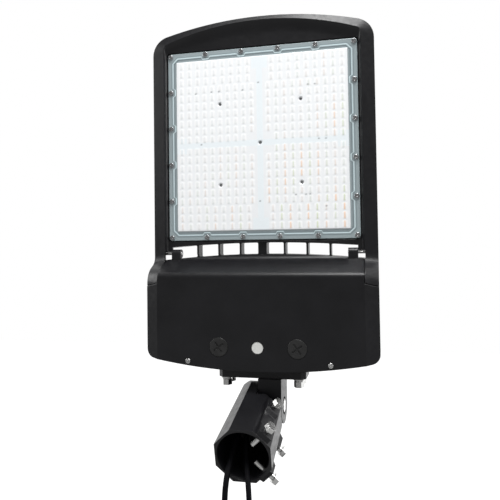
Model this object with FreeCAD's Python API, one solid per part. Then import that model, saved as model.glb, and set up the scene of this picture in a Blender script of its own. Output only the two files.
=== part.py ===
import FreeCAD, Part
import math
import os

# Shoebox area light on an adjustable slip fitter, in millimetres.
# World frame: +Z is up the light panel, the lit face looks along -Y, and the
# origin is the centre of the slip fitter's mouth.
# The head is drawn in its own frame (u right, v up the panel, n out of the lit
# face, lens centre at the origin) and the slip fitter along its own axis
# (x right, y down, z from the mouth towards the pivot). Both are then placed.

# ---- where the two halves sit -------------------------------------------------
TUBE_TILT = 15.0              # slip fitter axis below the horizontal, degrees
PIVOT_TO_MOUTH = 117.4        # along the slip fitter's axis
PIVOT_U = -4.0                # pivot plane in the head frame
PIVOT_V = -362.0
PIVOT_N = -4.8

# ---- panel of the housing -----------------------------------------------------
HALF_WIDTH = 157.5            # outer edge of the housing
BACK_N = -45.0                # back plane
BACK_INSET = 2.5              # draft of the side walls at the back
TOP_V = 178.0
TOP_RADIUS = 550.0
TOP_CORNER = 28.0
RIDGE_N = 4.0                 # crest of the rim round the lens
RIDGE_HALF = 139.9
RIDGE_TOP_V = 171.6
RIDGE_RADIUS = 405.0
RIDGE_CORNER = 8.0
SCOOP = ((166.2, 138.9, 1.0), (161.0, 137.7, -0.7))   # concave band inside the rim: v, half width, n
WELL_HALF = 136.8             # well that holds the lens plate
WELL_CORNER = 5.0
WELL_N = -1.5                 # level of the scooped shelf above the lens
SHELF_TOP_V = 152.0
WELL_MOUTH_V = -151.3         # lower end of the rim's inner bevel
LEDGE_N = -6.0                # ledge under the lens gasket
LEDGE_HALF = 122.5
FLOOR_N = -7.6                # seat of the LED boards
SINK_BASE = 6.4               # heat sink plate under the boards
FIN_PITCH = 15.65
FIN_WIDTH = 2.0
FIN_WALL = 6.0                # wall round the fins
CROSSBAR_V = -139.1           # lower edge of the bar under the lens
CROSSBAR_RADIUS = 1680.0

# ---- ribs between the panel and the driver case ---------------------------------
RIB_FRONT_N = -5.0
RIB_DEPTH = 18.0
RIB_WIDTH = 2.6
RIB_COUNT_EACH_SIDE = 3
CENTRE_RIB_WIDTH = 12.0
RIB_CORNER = 1.8              # round corners of the openings between them
LEAD_HOLE = 4.4               # hole for the LED lead
LEAD_N = -11.0
LEAD_RADIUS = 1.5
CONNECTOR_TOP_V = -97.0
CONNECTOR_LONG = 7.0
CONNECTOR_HALF = 2.0

# ---- arms beside the driver case ------------------------------------------------
ARM_TOP_V = -150.0
ARM_INNER = dict(v_start=-155.1, n_low=RIDGE_N, v_end=-195.0, n_high=36.5)
ARM_OUTER = dict(v_start=-157.0, n_low=0.0, v_end=-195.0, n_high=28.5)
ARM_R_LOW = 14.0
ARM_R_HIGH = 24.0
ARM_FOOT_V = -214.0
PART_GAP = 1.2                # seam between arm ends and cover
PART_R_INNER = 56.4           # seam radius about the hinge axis, at the ridge
PART_R_OUTER = 54.3           # and at the outer edge
CORE_WALL = 3.6               # pocket in the back of the arm's root
CORE_SKIN = 2.0
CORE_TOP_V = -168.0
CORE_BOTTOM_V = -196.0
CORE_N = -8.0

# ---- hinge of the driver cover --------------------------------------------------
HINGE_V = -153.5
HINGE_N = -4.0
PIN_RADIUS = 2.0
PIN_FIT = 0.02
HOOK_FIT = 0.05
HOOK_RADIUS = 6.0
HOOK_FROM = 118.0
HOOK_TO = 131.0
HOOK_WEB = 8.5                # how far the hook's root runs down behind the cover's lip
PIN_INTO_ARM = 9.0
WINDOW_HALF = 140.5           # outer end of the opening beside the hook
WINDOW_TAPER = 0.42           # it widens towards the back
SLIT_HALF = 131.0
SLIT_LIP_N = -5.0             # back of the lip at the ends of the slit
RAIL_BACK_N = -22.0           # back of the rails that join panel and case

# ---- driver case and cover ------------------------------------------------------
CASE_TOP_V = -155.1           # upper edge, an arc
CASE_TOP_RADIUS = 1400.0
CASE_BOTTOM_V = -309.0
CASE_BOTTOM_RADIUS = 780.0
CASE_CORNER = 12.0
CASE_WALL = 3.6
CASE_FLOOR = 3.5
RIM_N = 17.0                  # cover rim along the sides and bottom
LOW_RIM_N = -5.0              # cover rim between the arms
SEAL_THICK = 1.5
SEAL_WIDTH = 2.4
SEAL_EDGE = 0.6
STEP_V = -200.0               # where the rim steps between the two levels
STEP_GAP = 0.6
COVER_GAP = 0.3               # between the cover and the arms beside it
COVER_N = 37.2                # front of the cover
COVER_FLAT_HALF = 139.7
COVER_EDGE_N = 29.0
COVER_CENTRE_HALF = 139.4
COVER_WALL = 2.6
LOBE_SKIN = 4.5               # behind the seam with the arm ends
LIP_N = -3.0
BAND_TOP_V = -155.4
BAND_BOTTOM_V = -185.6
BAND_R = 8.0

# ---- fittings on the cover ------------------------------------------------------
ROW_V = -277.5                # plugs and sensor window
PLUG_U = 52.7
PLUG_RADIUS = 12.6
PLUG_GAP = 0.3
PLUG_HEAD = 2.2
PLUG_STEM_RADIUS = 9.5
PLUG_STEM = 5.6
PLUG_BOSS_WALL = 4.6
PLUG_PROUD = 0.6
PLUG_TURNED = 35.0            # how far the slots are turned, degrees
SEAL_CORD = 1.2
SLOT_WIDTH = 2.4
SLOT_HALF = 8.0
SLOT_DEEP = 1.4
WINDOW_RADIUS = 7.6
WINDOW_GAP = 0.4
WINDOW_SUNK = 0.3
WINDOW_FLANGE = 3.0
WINDOW_FLANGE_THICK = 1.5
COVER_SCREW_U = 95.4
COVER_SCREW_V = -297.0
SCREW_HEAD_RADIUS = 3.4
SCREW_HEAD = 2.0
M4 = 2.0
SCREW_POST_RADIUS = 5.2
SCREW_POST_END_N = 18.2
SCREW_TIP_N = 12.0
SCREW_HOLE_SPARE = 4.0
SCREW_LOOSE = 1.0             # the cover's screws swing clear of their bosses

# ---- control board behind the cover ---------------------------------------------
BOARD_THICK = 1.6
CONTROL_N = 21.0
CONTROL_HALF = 66.0
CONTROL_DEEP = 20.0
CONTROL_POST_U = 26.0
CONTROL_POST_RADIUS = 3.5
CONTROL_SCREW = 7.0
CONTROL_HEAD_RADIUS = 2.9
CONTROL_HEAD = 1.8
SENSOR_RADIUS = 5.0
SENSOR_GAP = 0.4              # under the window's flange
SWITCH_SIZE = (22.0, 9.0, 5.4)
SLIDER_SIZE = (4.0, 3.0, 2.6)
SLIDER_TRAVEL = 4.0           # each way from the middle position
SLIDER_CLEAR = 0.1
SLIDER_SUNK = 1.6

# ---- lens and its fasteners -----------------------------------------------------
LENS_HALF = 135.0
LENS_CORNER = 4.0
LENS_BORDER_N = -1.2
LENS_THICK = 4.0
LENS_FIELD_HALF = 122.0
GASKET_THICK = 2.0
GASKET_INNER = 123.5
GASKET_OUTER = 128.2
SCREW_LINE = 130.8
SCREW_PITCH = 52.4
LENS_SCREW_LENGTH = 12.0
LENS_HEAD_RADIUS = 3.6
LENS_HEAD = 1.7
LENS_HOLLOW = 1.2             # room over the LEDs
LENS_HOLE_GAP = 0.3
CENTRE_SCREW = 57.5
CENTRE_SCREW_RADIUS = 1.25
CENTRE_HEAD_RADIUS = 2.2
CENTRE_HEAD = 1.4
CENTRE_BOSS_RADIUS = 4.0
CENTRE_GRIP = 4.0             # of the screw in the heat sink
CENTRE_HOLE_SPARE = 1.5
M3 = 1.5

# ---- LED boards -----------------------------------------------------------------
LED_BOARD_HALF = 121.5        # outer edge of the four boards
LED_BOARD_GAP = 1.5
LED_SIZE = 3.0
LED_HIGH = 0.7
LED_ROW_FIRST = 8.4           # rows of one board, counted from the middle of the lens
LED_ROW_PITCH = 11.9
LED_ROWS = 10
LED_LONG_ROWS = 7
LED_LONG_ROW = (11.9, 11.4, 10)      # first, pitch, count of the rows near the middle
LED_SHORT_ROW = (16.9, 12.2, 9)      # and of the outer ones

# ---- electrical pieces in the case ----------------------------------------------
DRIVER_WIDE = 64.0
DRIVER_HIGH = 38.0
DRIVER_CENTRE = (-6.0, -203.0)
DRIVER_END_ROOM = 5.8         # between its left ear and the case's wall
DRIVER_EDGE = 3.0
DRIVER_EAR = 9.0
DRIVER_EAR_INSET = 5.0
DRIVER_EAR_THICK = 3.0
DRIVER_SCREW_V = 20.0
DRIVER_SCREW_LENGTH = 5.5
STAND_RADIUS = 5.0
STAND_HIGH = 1.0
BLIND_SKIN = 1.5              # left under the blind holes in the case's floor
SURGE_SIZE = (62.0, 34.0, 24.0)
SURGE_CENTRE = (-98.0, -263.0)
TERMINAL_SIZE = (44.0, 18.0, 16.0)
TERMINAL_CENTRE = (12.0, -262.0)
TERMINAL_WAYS = 4
TERMINAL_PITCH = 10.0
TERMINAL_WELL = (2.6, 6.0)    # radius and depth
SURGE_EDGE = 3.0
GROUND_AT = (-46.0, -284.0)
GROUND_GRIP = 2.0
GROUND_HEAD_RADIUS = 4.5
GROUND_HEAD = 2.4
VENT_INSET = 16.5             # from the side of the case
VENT_V = -262.0
VENT_RADIUS = 5.9
VENT_GAP = 0.1
VENT_CAP_RADIUS = 8.0
VENT_CAP = 3.0
VENT_INSIDE = 2.0

# ---- bracket --------------------------------------------------------------------
PAD_V = -311.0                # flat pad at the foot of the case
PAD_INNER_V = -299.0
PAD_HALF = 62.0
PAD_BACK_N = -28.0
PAD_FRONT_N = 15.0
PLATE_GASKET = 1.5
PLATE_THICK = 9.5
PLATE_HALF = 60.0
PLATE_CHAMFER = 6.0
BOLT_U = 50.1
BOLT_NS = (5.9, -15.6)
M8 = 4.0
WASHER_RADIUS = 7.8
WASHER_THICK = 1.8
LOCK_RADIUS = 6.6
LOCK_THICK = 2.2
BOLT_HEAD = 7.5
BOLT_HEAD_ACROSS = 12.2
BOLT_SHANK = 22.0
BOLT_HOLE = 19.0
BOLT_LOOSE = 0.3
LOCK_SLOT = 1.2
ARM_FROM_X = 0.2              # bracket arm, across the pivot plane
ARM_WIDTH = 31.5
ARM_HALF_DEPTH = 23.5
ARM_CAVITY = (4.5, 19.0)      # across, from and to
ARM_CAVITY_HALF = 17.5
WIRE_HOLE_RADIUS = 8.0
ENTRY_WALL = 3.0
ENTRY_FLANGE = 2.0
ENTRY_FLANGE_THICK = 1.5

# ---- knuckle --------------------------------------------------------------------
PIVOT_BOLT = 5.0
PIVOT_FIT = 0.05
PIVOT_WASHER_RADIUS = 10.0
PIVOT_WASHER = 1.5
PIVOT_HEAD_ACROSS = 16.0
PIVOT_HEAD = 6.4
PIVOT_NUT = 8.0
RECESS_RADIUS = 12.0
HEAD_RECESS_X = 24.2
NUT_RECESS_X = -24.0
WIREWAY_RADIUS = 11.0
TOOTH_COUNT = 24
TOOTH_INNER = 13.5
TOOTH_OUTER = 21.5
TOOTH_HIGH = 1.1
TOOTH_WIDTH = 2.6

# ---- slip fitter ----------------------------------------------------------------
MOUTH_RADIUS = 37.25          # octagon, across corners / 2
FAR_RADIUS = 34.2
FAR_S = 115.0
BORE_RADIUS = 31.2            # takes a 60.3 mm tenon
BORE_LEAD = 0.8
BORE_LEAD_DEPTH = 3.0
BORE_DEPTH = 74.0
BORE_END = 80.0
BORE_END_RADIUS = 24.0
RIGHT_END = 89.0              # the half beside the bracket arm stops here
KNUCKLE_CLEAR = 2.0
TONGUE_RADIUS = 31.0
TONGUE_X = -0.2
TONGUE_CAVITY = (-15.5, -4.5)
TONGUE_CAVITY_RADIUS = 18.0
BOLT_S = (11.0, 65.0)
SET_TIP = 15.0
SET_SHANK = 30.0
SET_HEAD = 6.0
SET_LOW_OUT = 2.0             # the lower row stands further out
THREAD_FIT = 0.05
RAIL_HALF = 9.0
RAIL = ((0.5, 30.0), (3.5, 40.5), (19.0, 40.5), (24.0, 36.2), (50.0, 36.2), (55.0, 40.5), (75.0, 40.5),
        (82.0, 33.0), (82.0, 30.0))
GROMMET_X = -12.0
GROMMET_RADIUS = 9.0
GROMMET_FLANGE = 11.0
GROMMET_FLANGE_THICK = 2.0
GROMMET_LONG = 14.0

# ---- cords ----------------------------------------------------------------------
# Routes in the world frame, from the grommet to the top of each coil.
MAINS_DIAMETER = 7.0
MAINS_ROUTE = (
    (-16.3, 75.34, 20.19), (-16.3, 57.95, 15.53), (-17.0, 41.0, 8.2), (-17.8, 24.5, -1.2), (-18.3, 9.5, -11.0),
    (-18.7, -3.6, -22.6), (-18.9, -11.6, -38.0), (-18.6, -15.2, -55.5), (-18.2, -15.7, -74.0),
    (-18.2, -15.7, -94.0))
DIMMING_DIAMETER = 6.5
DIMMING_ROUTE = (
    (-7.7, 75.34, 20.19), (-7.7, 58.43, 15.66), (-5.2, 41.6, 6.2), (-1.6, 25.0, -5.6), (2.9, 9.7, -17.0),
    (7.2, -3.6, -29.0), (10.0, -11.5, -44.2), (11.0, -15.0, -61.5), (10.8, -15.3, -79.5), (10.8, -15.3, -98.0))
COIL_TURNS = 3
COIL_MIDDLE = 5.5             # middle of the turns, in cord diameters
COIL_SPACE = 0.8              # between turns
TIE_WIDTH = 10.0
TIE_THICK = 1.2
TIE_CLEAR = 0.4
WIRE_RADIUS = 1.1
WIRE_LONG = 40.0


# ---- helpers --------------------------------------------------------------------
def vec(x, y, z=0.0):
    return FreeCAD.Vector(x, y, z)


def line(a, b):
    return Part.LineSegment(a, b).toShape()


def arc(a, b, c):
    return Part.Arc(a, b, c).toShape()


def polygon(points):
    return Part.Face(Part.makePolygon(list(points) + [points[0]]))


def box(u0, u1, v0, v1, n0, n1):
    return Part.makeBox(u1 - u0, v1 - v0, n1 - n0, vec(u0, v0, n0))


def centred_box(size, centre, n0):
    return box(centre[0] - size[0] / 2, centre[0] + size[0] / 2, centre[1] - size[1] / 2,
               centre[1] + size[1] / 2, n0, n0 + size[2])


def rod(u, v, n0, n1, radius):
    return Part.makeCylinder(radius, n1 - n0, vec(u, v, n0), vec(0, 0, 1))


def mirrored(shape):
    return shape.mirror(vec(0, 0), vec(1, 0, 0))


def both_sides(shape):
    return [shape, mirrored(shape)]


def hexagon(across, high):
    """Hexagonal prism standing on the XY plane."""
    radius = across / math.sqrt(3)
    corners = [vec(radius * math.cos(math.radians(60 * k)), radius * math.sin(math.radians(60 * k)))
               for k in range(6)]
    return polygon(corners).extrude(vec(0, 0, high))


def along(shape, base, direction):
    """Moves a shape drawn up the Z axis so that it stands on base along direction."""
    turned = shape.copy()
    turned.Placement = FreeCAD.Placement(base, FreeCAD.Rotation(vec(0, 0, 1), direction))
    return turned


def fused(shapes):
    whole = shapes[0].multiFuse(shapes[1:])
    return whole.removeSplitter()


# ---- outlines in the head frame ---------------------------------------------------
def corner_arc(half, apex, radius, corner, up):
    """Corner between a side at u = half and an arc whose apex is at v = apex.

    Returns the points on the side, on the corner's middle and on the big arc."""
    centre_u = half - corner
    rise = math.sqrt((radius - corner) ** 2 - centre_u ** 2)
    centre_v = apex - up * (radius - rise)
    reach = radius / (radius - corner)
    on_arc = vec(centre_u * reach, apex - up * (radius - rise * reach))
    middle_angle = (math.pi / 2 - math.asin(centre_u / (radius - corner))) / 2
    middle = vec(centre_u + corner * math.cos(middle_angle), centre_v + up * corner * math.sin(middle_angle))
    return vec(half, centre_v), middle, on_arc


def flipped(point):
    return vec(-point.x, point.y, point.z)


def outline(half, top, bottom, n):
    """Closed outline with straight sides. top and bottom are (apex, radius, corner) or a plain v."""
    edges = []
    if isinstance(top, tuple):
        side_top, middle, end = corner_arc(half, *top, 1)
        edges.append(arc(side_top, middle, end))
        edges.append(arc(end, vec(0, top[0]), flipped(end)))
        edges.append(arc(flipped(end), flipped(middle), flipped(side_top)))
    else:
        side_top = vec(half, top)
        edges.append(line(side_top, flipped(side_top)))
    if isinstance(bottom, tuple):
        side_end, middle, end = corner_arc(half, *bottom, -1)
        edges.append(line(flipped(side_top), flipped(side_end)))
        edges.append(arc(flipped(side_end), flipped(middle), flipped(end)))
        edges.append(arc(flipped(end), vec(0, bottom[0]), end))
        edges.append(arc(end, middle, side_end))
    else:
        side_end = vec(half, bottom)
        edges.append(line(flipped(side_top), flipped(side_end)))
        edges.append(line(flipped(side_end), side_end))
    edges.append(line(side_end, side_top))
    wire = Part.Wire(edges)
    wire.translate(vec(0, 0, n))
    return wire


def raised(wire, n1):
    """Prism from the wire's own level up to n1."""
    return Part.Face(wire).extrude(vec(0, 0, n1 - wire.BoundBox.ZMin))


def panel_top(inset):
    return TOP_V - inset, TOP_RADIUS - inset, TOP_CORNER - inset


def case_bottom(inset):
    return CASE_BOTTOM_V + inset, CASE_BOTTOM_RADIUS - inset, CASE_CORNER - inset


def case_prism(inset, n0, n1, top_v):
    return raised(outline(HALF_WIDTH - inset, top_v, case_bottom(inset), n0), n1)


def rounded_square(half, corner, n0, n1):
    block = box(-half, half, -half, half, n0, n1)
    upright = [e for e in block.Edges if abs(e.Vertexes[0].Z - e.Vertexes[1].Z) > 0.5 * (n1 - n0)]
    return block.makeFillet(corner, upright)


def step_edges(u, v_start, n_low, v_end, n_high, r_low, r_high):
    """S-shaped step in the plane of constant u, rising as v falls: arc, line, arc."""
    low = (v_start, n_low + r_low)
    high = (v_end, n_high - r_high)
    run = v_start - v_end
    rise = high[1] - low[1]
    angle = math.atan2(rise, run) + math.asin((r_low + r_high) / math.hypot(run, rise))

    def on_low(a):
        return vec(u, low[0] - r_low * math.sin(a), low[1] - r_low * math.cos(a))

    def on_high(a):
        return vec(u, high[0] + r_high * math.sin(a), high[1] + r_high * math.cos(a))

    return [arc(on_low(0), on_low(angle / 2), on_low(angle)),
            line(on_low(angle), on_high(angle)),
            arc(on_high(angle), on_high(angle / 2), on_high(0))]


def seam_cone(extra, u0, u1):
    """Solid of revolution about the hinge axis that the arm ends and the cover part along."""
    slope = (PART_R_OUTER - PART_R_INNER) / (HALF_WIDTH - RIDGE_HALF)
    r0 = PART_R_INNER + slope * (u0 - RIDGE_HALF) + extra
    r1 = PART_R_INNER + slope * (u1 - RIDGE_HALF) + extra
    return Part.makeCone(r0, r1, u1 - u0, vec(u0, HINGE_V, HINGE_N), vec(1, 0, 0))


# ---- main housing -----------------------------------------------------------------
def arm_wire(u, step):
    foot_n = BACK_N / 2
    edges = step_edges(u, r_low=ARM_R_LOW, r_high=ARM_R_HIGH, **step)
    top = vec(u, ARM_TOP_V, step["n_low"])
    first = vec(u, step["v_start"], step["n_low"])
    last = vec(u, step["v_end"], step["n_high"])
    foot = vec(u, ARM_FOOT_V, step["n_high"])
    back = vec(u, ARM_FOOT_V, foot_n)
    start = vec(u, ARM_TOP_V, foot_n)
    return Part.Wire([line(start, top), line(top, first)] + edges
                     + [line(last, foot), line(foot, back), line(back, start)])


def housing_arm():
    arm = Part.makeLoft([arm_wire(RIDGE_HALF, ARM_INNER), arm_wire(HALF_WIDTH, ARM_OUTER)], True, True)
    arm = arm.common(seam_cone(-PART_GAP / 2, RIDGE_HALF - 1, HALF_WIDTH + 1))
    return arm.common(box(RIDGE_HALF, HALF_WIDTH + 1, ARM_FOOT_V, ARM_TOP_V, 0, COVER_N))


def housing_envelope():
    whole_bottom = case_bottom(0)
    back = Part.makeLoft([
        outline(HALF_WIDTH - BACK_INSET, panel_top(BACK_INSET), case_bottom(BACK_INSET), BACK_N),
        outline(HALF_WIDTH, panel_top(0), whole_bottom, 0)], True, True)
    rim = Part.makeLoft([
        outline(HALF_WIDTH, panel_top(0), ARM_TOP_V, 0),
        outline(RIDGE_HALF, (RIDGE_TOP_V, RIDGE_RADIUS, RIDGE_CORNER), ARM_TOP_V, RIDGE_N)], True, True)
    case = case_prism(0, 0, RIM_N - SEAL_THICK, STEP_V - STEP_GAP)
    pad = box(-PAD_HALF, PAD_HALF, PAD_V, PAD_INNER_V, PAD_BACK_N, PAD_FRONT_N)
    return fused([back, rim, case, pad] + both_sides(housing_arm()))


def case_top_disc(inset, n0, n1):
    """Disc whose upper edge is the arc along the top of the case and cover."""
    return rod(0, CASE_TOP_V - CASE_TOP_RADIUS, n0, n1, CASE_TOP_RADIUS - inset)


def widening(front_n, back_n, top_v, front_half):
    """Opening whose sides spread by WINDOW_TAPER, from the case's top up to top_v."""
    back_half = front_half + WINDOW_TAPER * (front_n - back_n)
    low_v = CASE_TOP_V - 10
    face = polygon([vec(-front_half, low_v, front_n), vec(front_half, low_v, front_n),
                    vec(back_half, low_v, back_n), vec(-back_half, low_v, back_n)])
    return face.extrude(vec(0, top_v - low_v, 0))


def slot_between():
    """Opening between the panel and the case, right through the housing."""
    low_v, top_v = CASE_TOP_V - 10, CROSSBAR_V + 1
    bar = rod(0, CROSSBAR_V - CROSSBAR_RADIUS, BACK_N - 1, COVER_N, CROSSBAR_RADIUS)
    lip_half = WINDOW_HALF - WINDOW_TAPER * SLIT_LIP_N
    behind = fused([
        box(-SLIT_HALF, SLIT_HALF, low_v, top_v, RAIL_BACK_N, COVER_N),
        widening(SLIT_LIP_N, RAIL_BACK_N, top_v, lip_half),
        box(-HALF_WIDTH - 1, HALF_WIDTH + 1, low_v, top_v, BACK_N - 1, RAIL_BACK_N)])
    windows = fused([
        box(-WINDOW_HALF, WINDOW_HALF, low_v, WELL_MOUTH_V, 0, COVER_N),
        widening(0, RAIL_BACK_N, WELL_MOUTH_V, WINDOW_HALF)])
    return behind.common(bar).fuse(windows).cut(case_top_disc(0, BACK_N - 2, COVER_N + 1))


def ribs():
    """Grid across the slot: ribs with round corners where they meet panel and case."""
    back, front = RIB_FRONT_N - RIB_DEPTH, RIB_FRONT_N
    pitch = 2 * FIN_PITCH
    sides = [(k * pitch - RIB_WIDTH / 2, k * pitch + RIB_WIDTH / 2) for k in range(1, RIB_COUNT_EACH_SIDE + 1)]
    edges = [CENTRE_RIB_WIDTH / 2] + [u for pair in sides for u in pair]
    reach = edges[-1] + RIB_CORNER
    grid = box(-reach, reach, CASE_TOP_V - 10, CROSSBAR_V + 1, back, front).cut(
        case_top_disc(CASE_WALL / 2, back - 1, front + 1))
    edges.append(reach + pitch)
    openings = []
    for k in range(0, len(edges), 2):
        between = box(edges[k], edges[k + 1], CASE_TOP_V - 10, CROSSBAR_V + 1, back - 1, front + 1)
        between = between.common(rod(0, CROSSBAR_V - CROSSBAR_RADIUS, back - 2, front + 2, CROSSBAR_RADIUS))
        between = between.cut(case_top_disc(0, back - 2, front + 2))
        upright = [e for e in between.Edges if e.BoundBox.ZLength > RIB_DEPTH]
        openings += both_sides(between.makeFillet(RIB_CORNER, upright))
    return grid.cut(openings)


def lens_well():
    """Scooped mouth, ledge and board seat in the front of the panel."""
    sections = [(RIDGE_TOP_V, RIDGE_HALF, RIDGE_N), *SCOOP, (SHELF_TOP_V, WELL_HALF, WELL_N)]
    mouth = Part.makeLoft([outline(half, (top, RIDGE_RADIUS, RIDGE_CORNER), WELL_MOUTH_V, n)
                           for top, half, n in sections], True, False)
    return fused([
        mouth,
        rounded_square(WELL_HALF, WELL_CORNER, LEDGE_N, RIDGE_N),
        rounded_square(LEDGE_HALF, WELL_CORNER, FLOOR_N, LEDGE_N + 1)])


def fin_gaps():
    base = FLOOR_N - SINK_BASE
    inside = raised(outline(HALF_WIDTH - FIN_WALL, panel_top(FIN_WALL), CROSSBAR_V + FIN_WALL, BACK_N - 1), base)
    count = int((HALF_WIDTH - FIN_WALL) / FIN_PITCH)
    strips = []
    for k in range(-count - 1, count + 1):
        left = k * FIN_PITCH + FIN_WIDTH / 2
        right = (k + 1) * FIN_PITCH - FIN_WIDTH / 2
        strips.append(box(left, right, CROSSBAR_V, TOP_V, BACK_N - 1, base))
    return Part.makeCompound([inside.common(s) for s in strips])


def case_cavity():
    floor = BACK_N + CASE_FLOOR
    lower = case_prism(CASE_WALL, floor, COVER_N, STEP_V - STEP_GAP - CASE_WALL)
    half = COVER_CENTRE_HALF - CASE_WALL
    upper = box(-half, half, STEP_V - 2 * CASE_WALL, CASE_TOP_V, floor, COVER_N)
    return lower.fuse(upper.common(case_top_disc(CASE_WALL, floor - 1, COVER_N + 1)))


def main_housing():
    body = housing_envelope()
    lowered = box(-COVER_CENTRE_HALF - COVER_GAP, COVER_CENTRE_HALF + COVER_GAP, STEP_V - STEP_GAP,
                  CASE_TOP_V, LOW_RIM_N - SEAL_THICK, COVER_N)
    body = body.cut([slot_between(), lens_well(), case_cavity()])
    body = fused([body, ribs()]).cut(lowered)
    pad = box(-PAD_HALF, PAD_HALF, CASE_BOTTOM_V + 1, PAD_INNER_V, PAD_BACK_N, PAD_FRONT_N)
    posts = [rod(s * COVER_SCREW_U, COVER_SCREW_V, BACK_N + 1, RIM_N - SEAL_THICK, SCREW_POST_RADIUS)
             for s in (-1, 1)]
    stands = [rod(u, v, BACK_N + 1, driver_seat_n(), STAND_RADIUS) for u, v in driver_screw_places()]
    body = fused([body, pad] + posts + stands)
    return body.cut([fin_gaps()] + housing_holes())


def driver_seat_n():
    return BACK_N + CASE_FLOOR + STAND_HIGH


def housing_holes():
    screw_hole = M4 + THREAD_FIT
    holes = [rod(u, v, LEDGE_N - LENS_SCREW_LENGTH + LENS_THICK, LEDGE_N, screw_hole)
             for u, v in lens_screw_places()]
    holes += [rod(u, v, FLOOR_N - CENTRE_GRIP - CENTRE_HOLE_SPARE, FLOOR_N, CENTRE_SCREW_RADIUS + THREAD_FIT)
              for u, v in centre_screw_places()]
    holes += [rod(s * COVER_SCREW_U, COVER_SCREW_V, SCREW_TIP_N - SCREW_HOLE_SPARE, RIM_N, M4 + SCREW_LOOSE)
              for s in (-1, 1)]
    holes += [rod(u, v, BACK_N + BLIND_SKIN, 0, screw_hole) for u, v in driver_screw_places()]
    holes.append(rod(*GROUND_AT, BACK_N + CASE_FLOOR - GROUND_GRIP - THREAD_FIT, 0, screw_hole))
    holes.append(rod(*vent_place(), BACK_N - 1, 0, VENT_RADIUS + VENT_GAP))
    for u, n in plate_bolt_places():
        holes.append(Part.makeCylinder(M8 + THREAD_FIT, BOLT_HOLE + 1, vec(u, PAD_V - 1, n), vec(0, 1, 0)))
    entry = PAD_INNER_V - PAD_V + 2
    holes.append(Part.makeCylinder(WIRE_HOLE_RADIUS, entry, vec(arm_centre_u(), PAD_V - 1, PIVOT_N), vec(0, 1, 0)))
    slot_top = CONNECTOR_TOP_V + 1
    lead_from = CASE_TOP_V - 2 * CASE_WALL
    lead = slot_top - lead_from
    holes.append(Part.makeCylinder(LEAD_HOLE / 2, lead, vec(0, lead_from, LEAD_N), vec(0, 1, 0)))
    holes.append(box(-LEAD_HOLE / 2, LEAD_HOLE / 2, -LEDGE_HALF + 0.5, slot_top, LEAD_N - LEAD_HOLE / 2, FLOOR_N))
    for side in (0, 1):
        pin = hinge_pin(PIN_FIT)
        holes.append(mirrored(pin) if side else pin)
    core = box(RIDGE_HALF + CORE_WALL, HALF_WIDTH - BACK_INSET - CORE_SKIN, CORE_BOTTOM_V, CORE_TOP_V,
               BACK_N - 1, CORE_N)
    return holes + both_sides(core)


def arm_centre_u():
    return PIVOT_U + ARM_FROM_X + ARM_WIDTH / 2


# ---- lens plate, gasket, screws, LED boards -----------------------------------------
def lens_screw_places():
    steps = [SCREW_PITCH * (k - 2.5) for k in range(6)]
    steps[0] = -SCREW_LINE
    steps[-1] = SCREW_LINE
    rows = [(u, s * SCREW_LINE) for u in steps for s in (-1, 1)]
    columns = [(s * SCREW_LINE, v) for v in steps[1:-1] for s in (-1, 1)]
    return rows + columns


def centre_screw_places():
    return [(0, 0)] + [(s * CENTRE_SCREW, t * CENTRE_SCREW) for s in (-1, 1) for t in (-1, 1)]


def lens_plate():
    bottom = LEDGE_N + GASKET_THICK
    border = rounded_square(LENS_HALF, LENS_CORNER, bottom, LENS_BORDER_N)
    field = rounded_square(LENS_FIELD_HALF, LENS_CORNER, bottom, bottom + LENS_THICK)
    hollow = rounded_square(LED_BOARD_HALF - 0.5, LENS_CORNER, bottom - 1, bottom + LENS_HOLLOW)
    plate = border.fuse(field).cut(hollow)
    bosses = [rod(u, v, FLOOR_N + BOARD_THICK, bottom + LENS_THICK / 2, CENTRE_BOSS_RADIUS)
              for u, v in centre_screw_places()]
    plate = plate.fuse(bosses).removeSplitter()
    holes = [rod(u, v, bottom - 1, 1, M4 + LENS_HOLE_GAP) for u, v in lens_screw_places()]
    holes += [rod(u, v, FLOOR_N, 1, CENTRE_SCREW_RADIUS + LENS_HOLE_GAP) for u, v in centre_screw_places()]
    holes += [rod(u, v, centre_seat_n(), 1, CENTRE_HEAD_RADIUS + LENS_HOLE_GAP) for u, v in centre_screw_places()]
    return plate.cut(holes)


def lens_gasket():
    outer = rounded_square(GASKET_OUTER, 6.0, LEDGE_N, LEDGE_N + GASKET_THICK)
    return outer.cut(rounded_square(GASKET_INNER, 3.0, LEDGE_N - 1, LEDGE_N + GASKET_THICK + 1))


def pan_screw(u, v, seat_n, length, radius, head_radius, head):
    """Screw with a domed head and a hexagon socket, driven along -n."""
    dome = rod(u, v, seat_n, seat_n + head, head_radius)
    top = [e for e in dome.Edges if e.BoundBox.ZMin > seat_n + 0.9 * head]
    dome = dome.makeFillet(0.4 * head, top)
    socket = along(hexagon(radius * 1.3, head), vec(u, v, seat_n + 0.35 * head), vec(0, 0, 1))
    return dome.fuse(rod(u, v, seat_n - length, seat_n, radius)).cut(socket)


def lens_screws():
    return [pan_screw(u, v, LENS_BORDER_N, LENS_SCREW_LENGTH, M4, LENS_HEAD_RADIUS, LENS_HEAD)
            for u, v in lens_screw_places()]


def centre_seat_n():
    return LENS_BORDER_N - CENTRE_HEAD


def centre_screws():
    length = centre_seat_n() - FLOOR_N + CENTRE_GRIP
    return [pan_screw(u, v, centre_seat_n(), length, CENTRE_SCREW_RADIUS, CENTRE_HEAD_RADIUS, CENTRE_HEAD)
            for u, v in centre_screw_places()]


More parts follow.
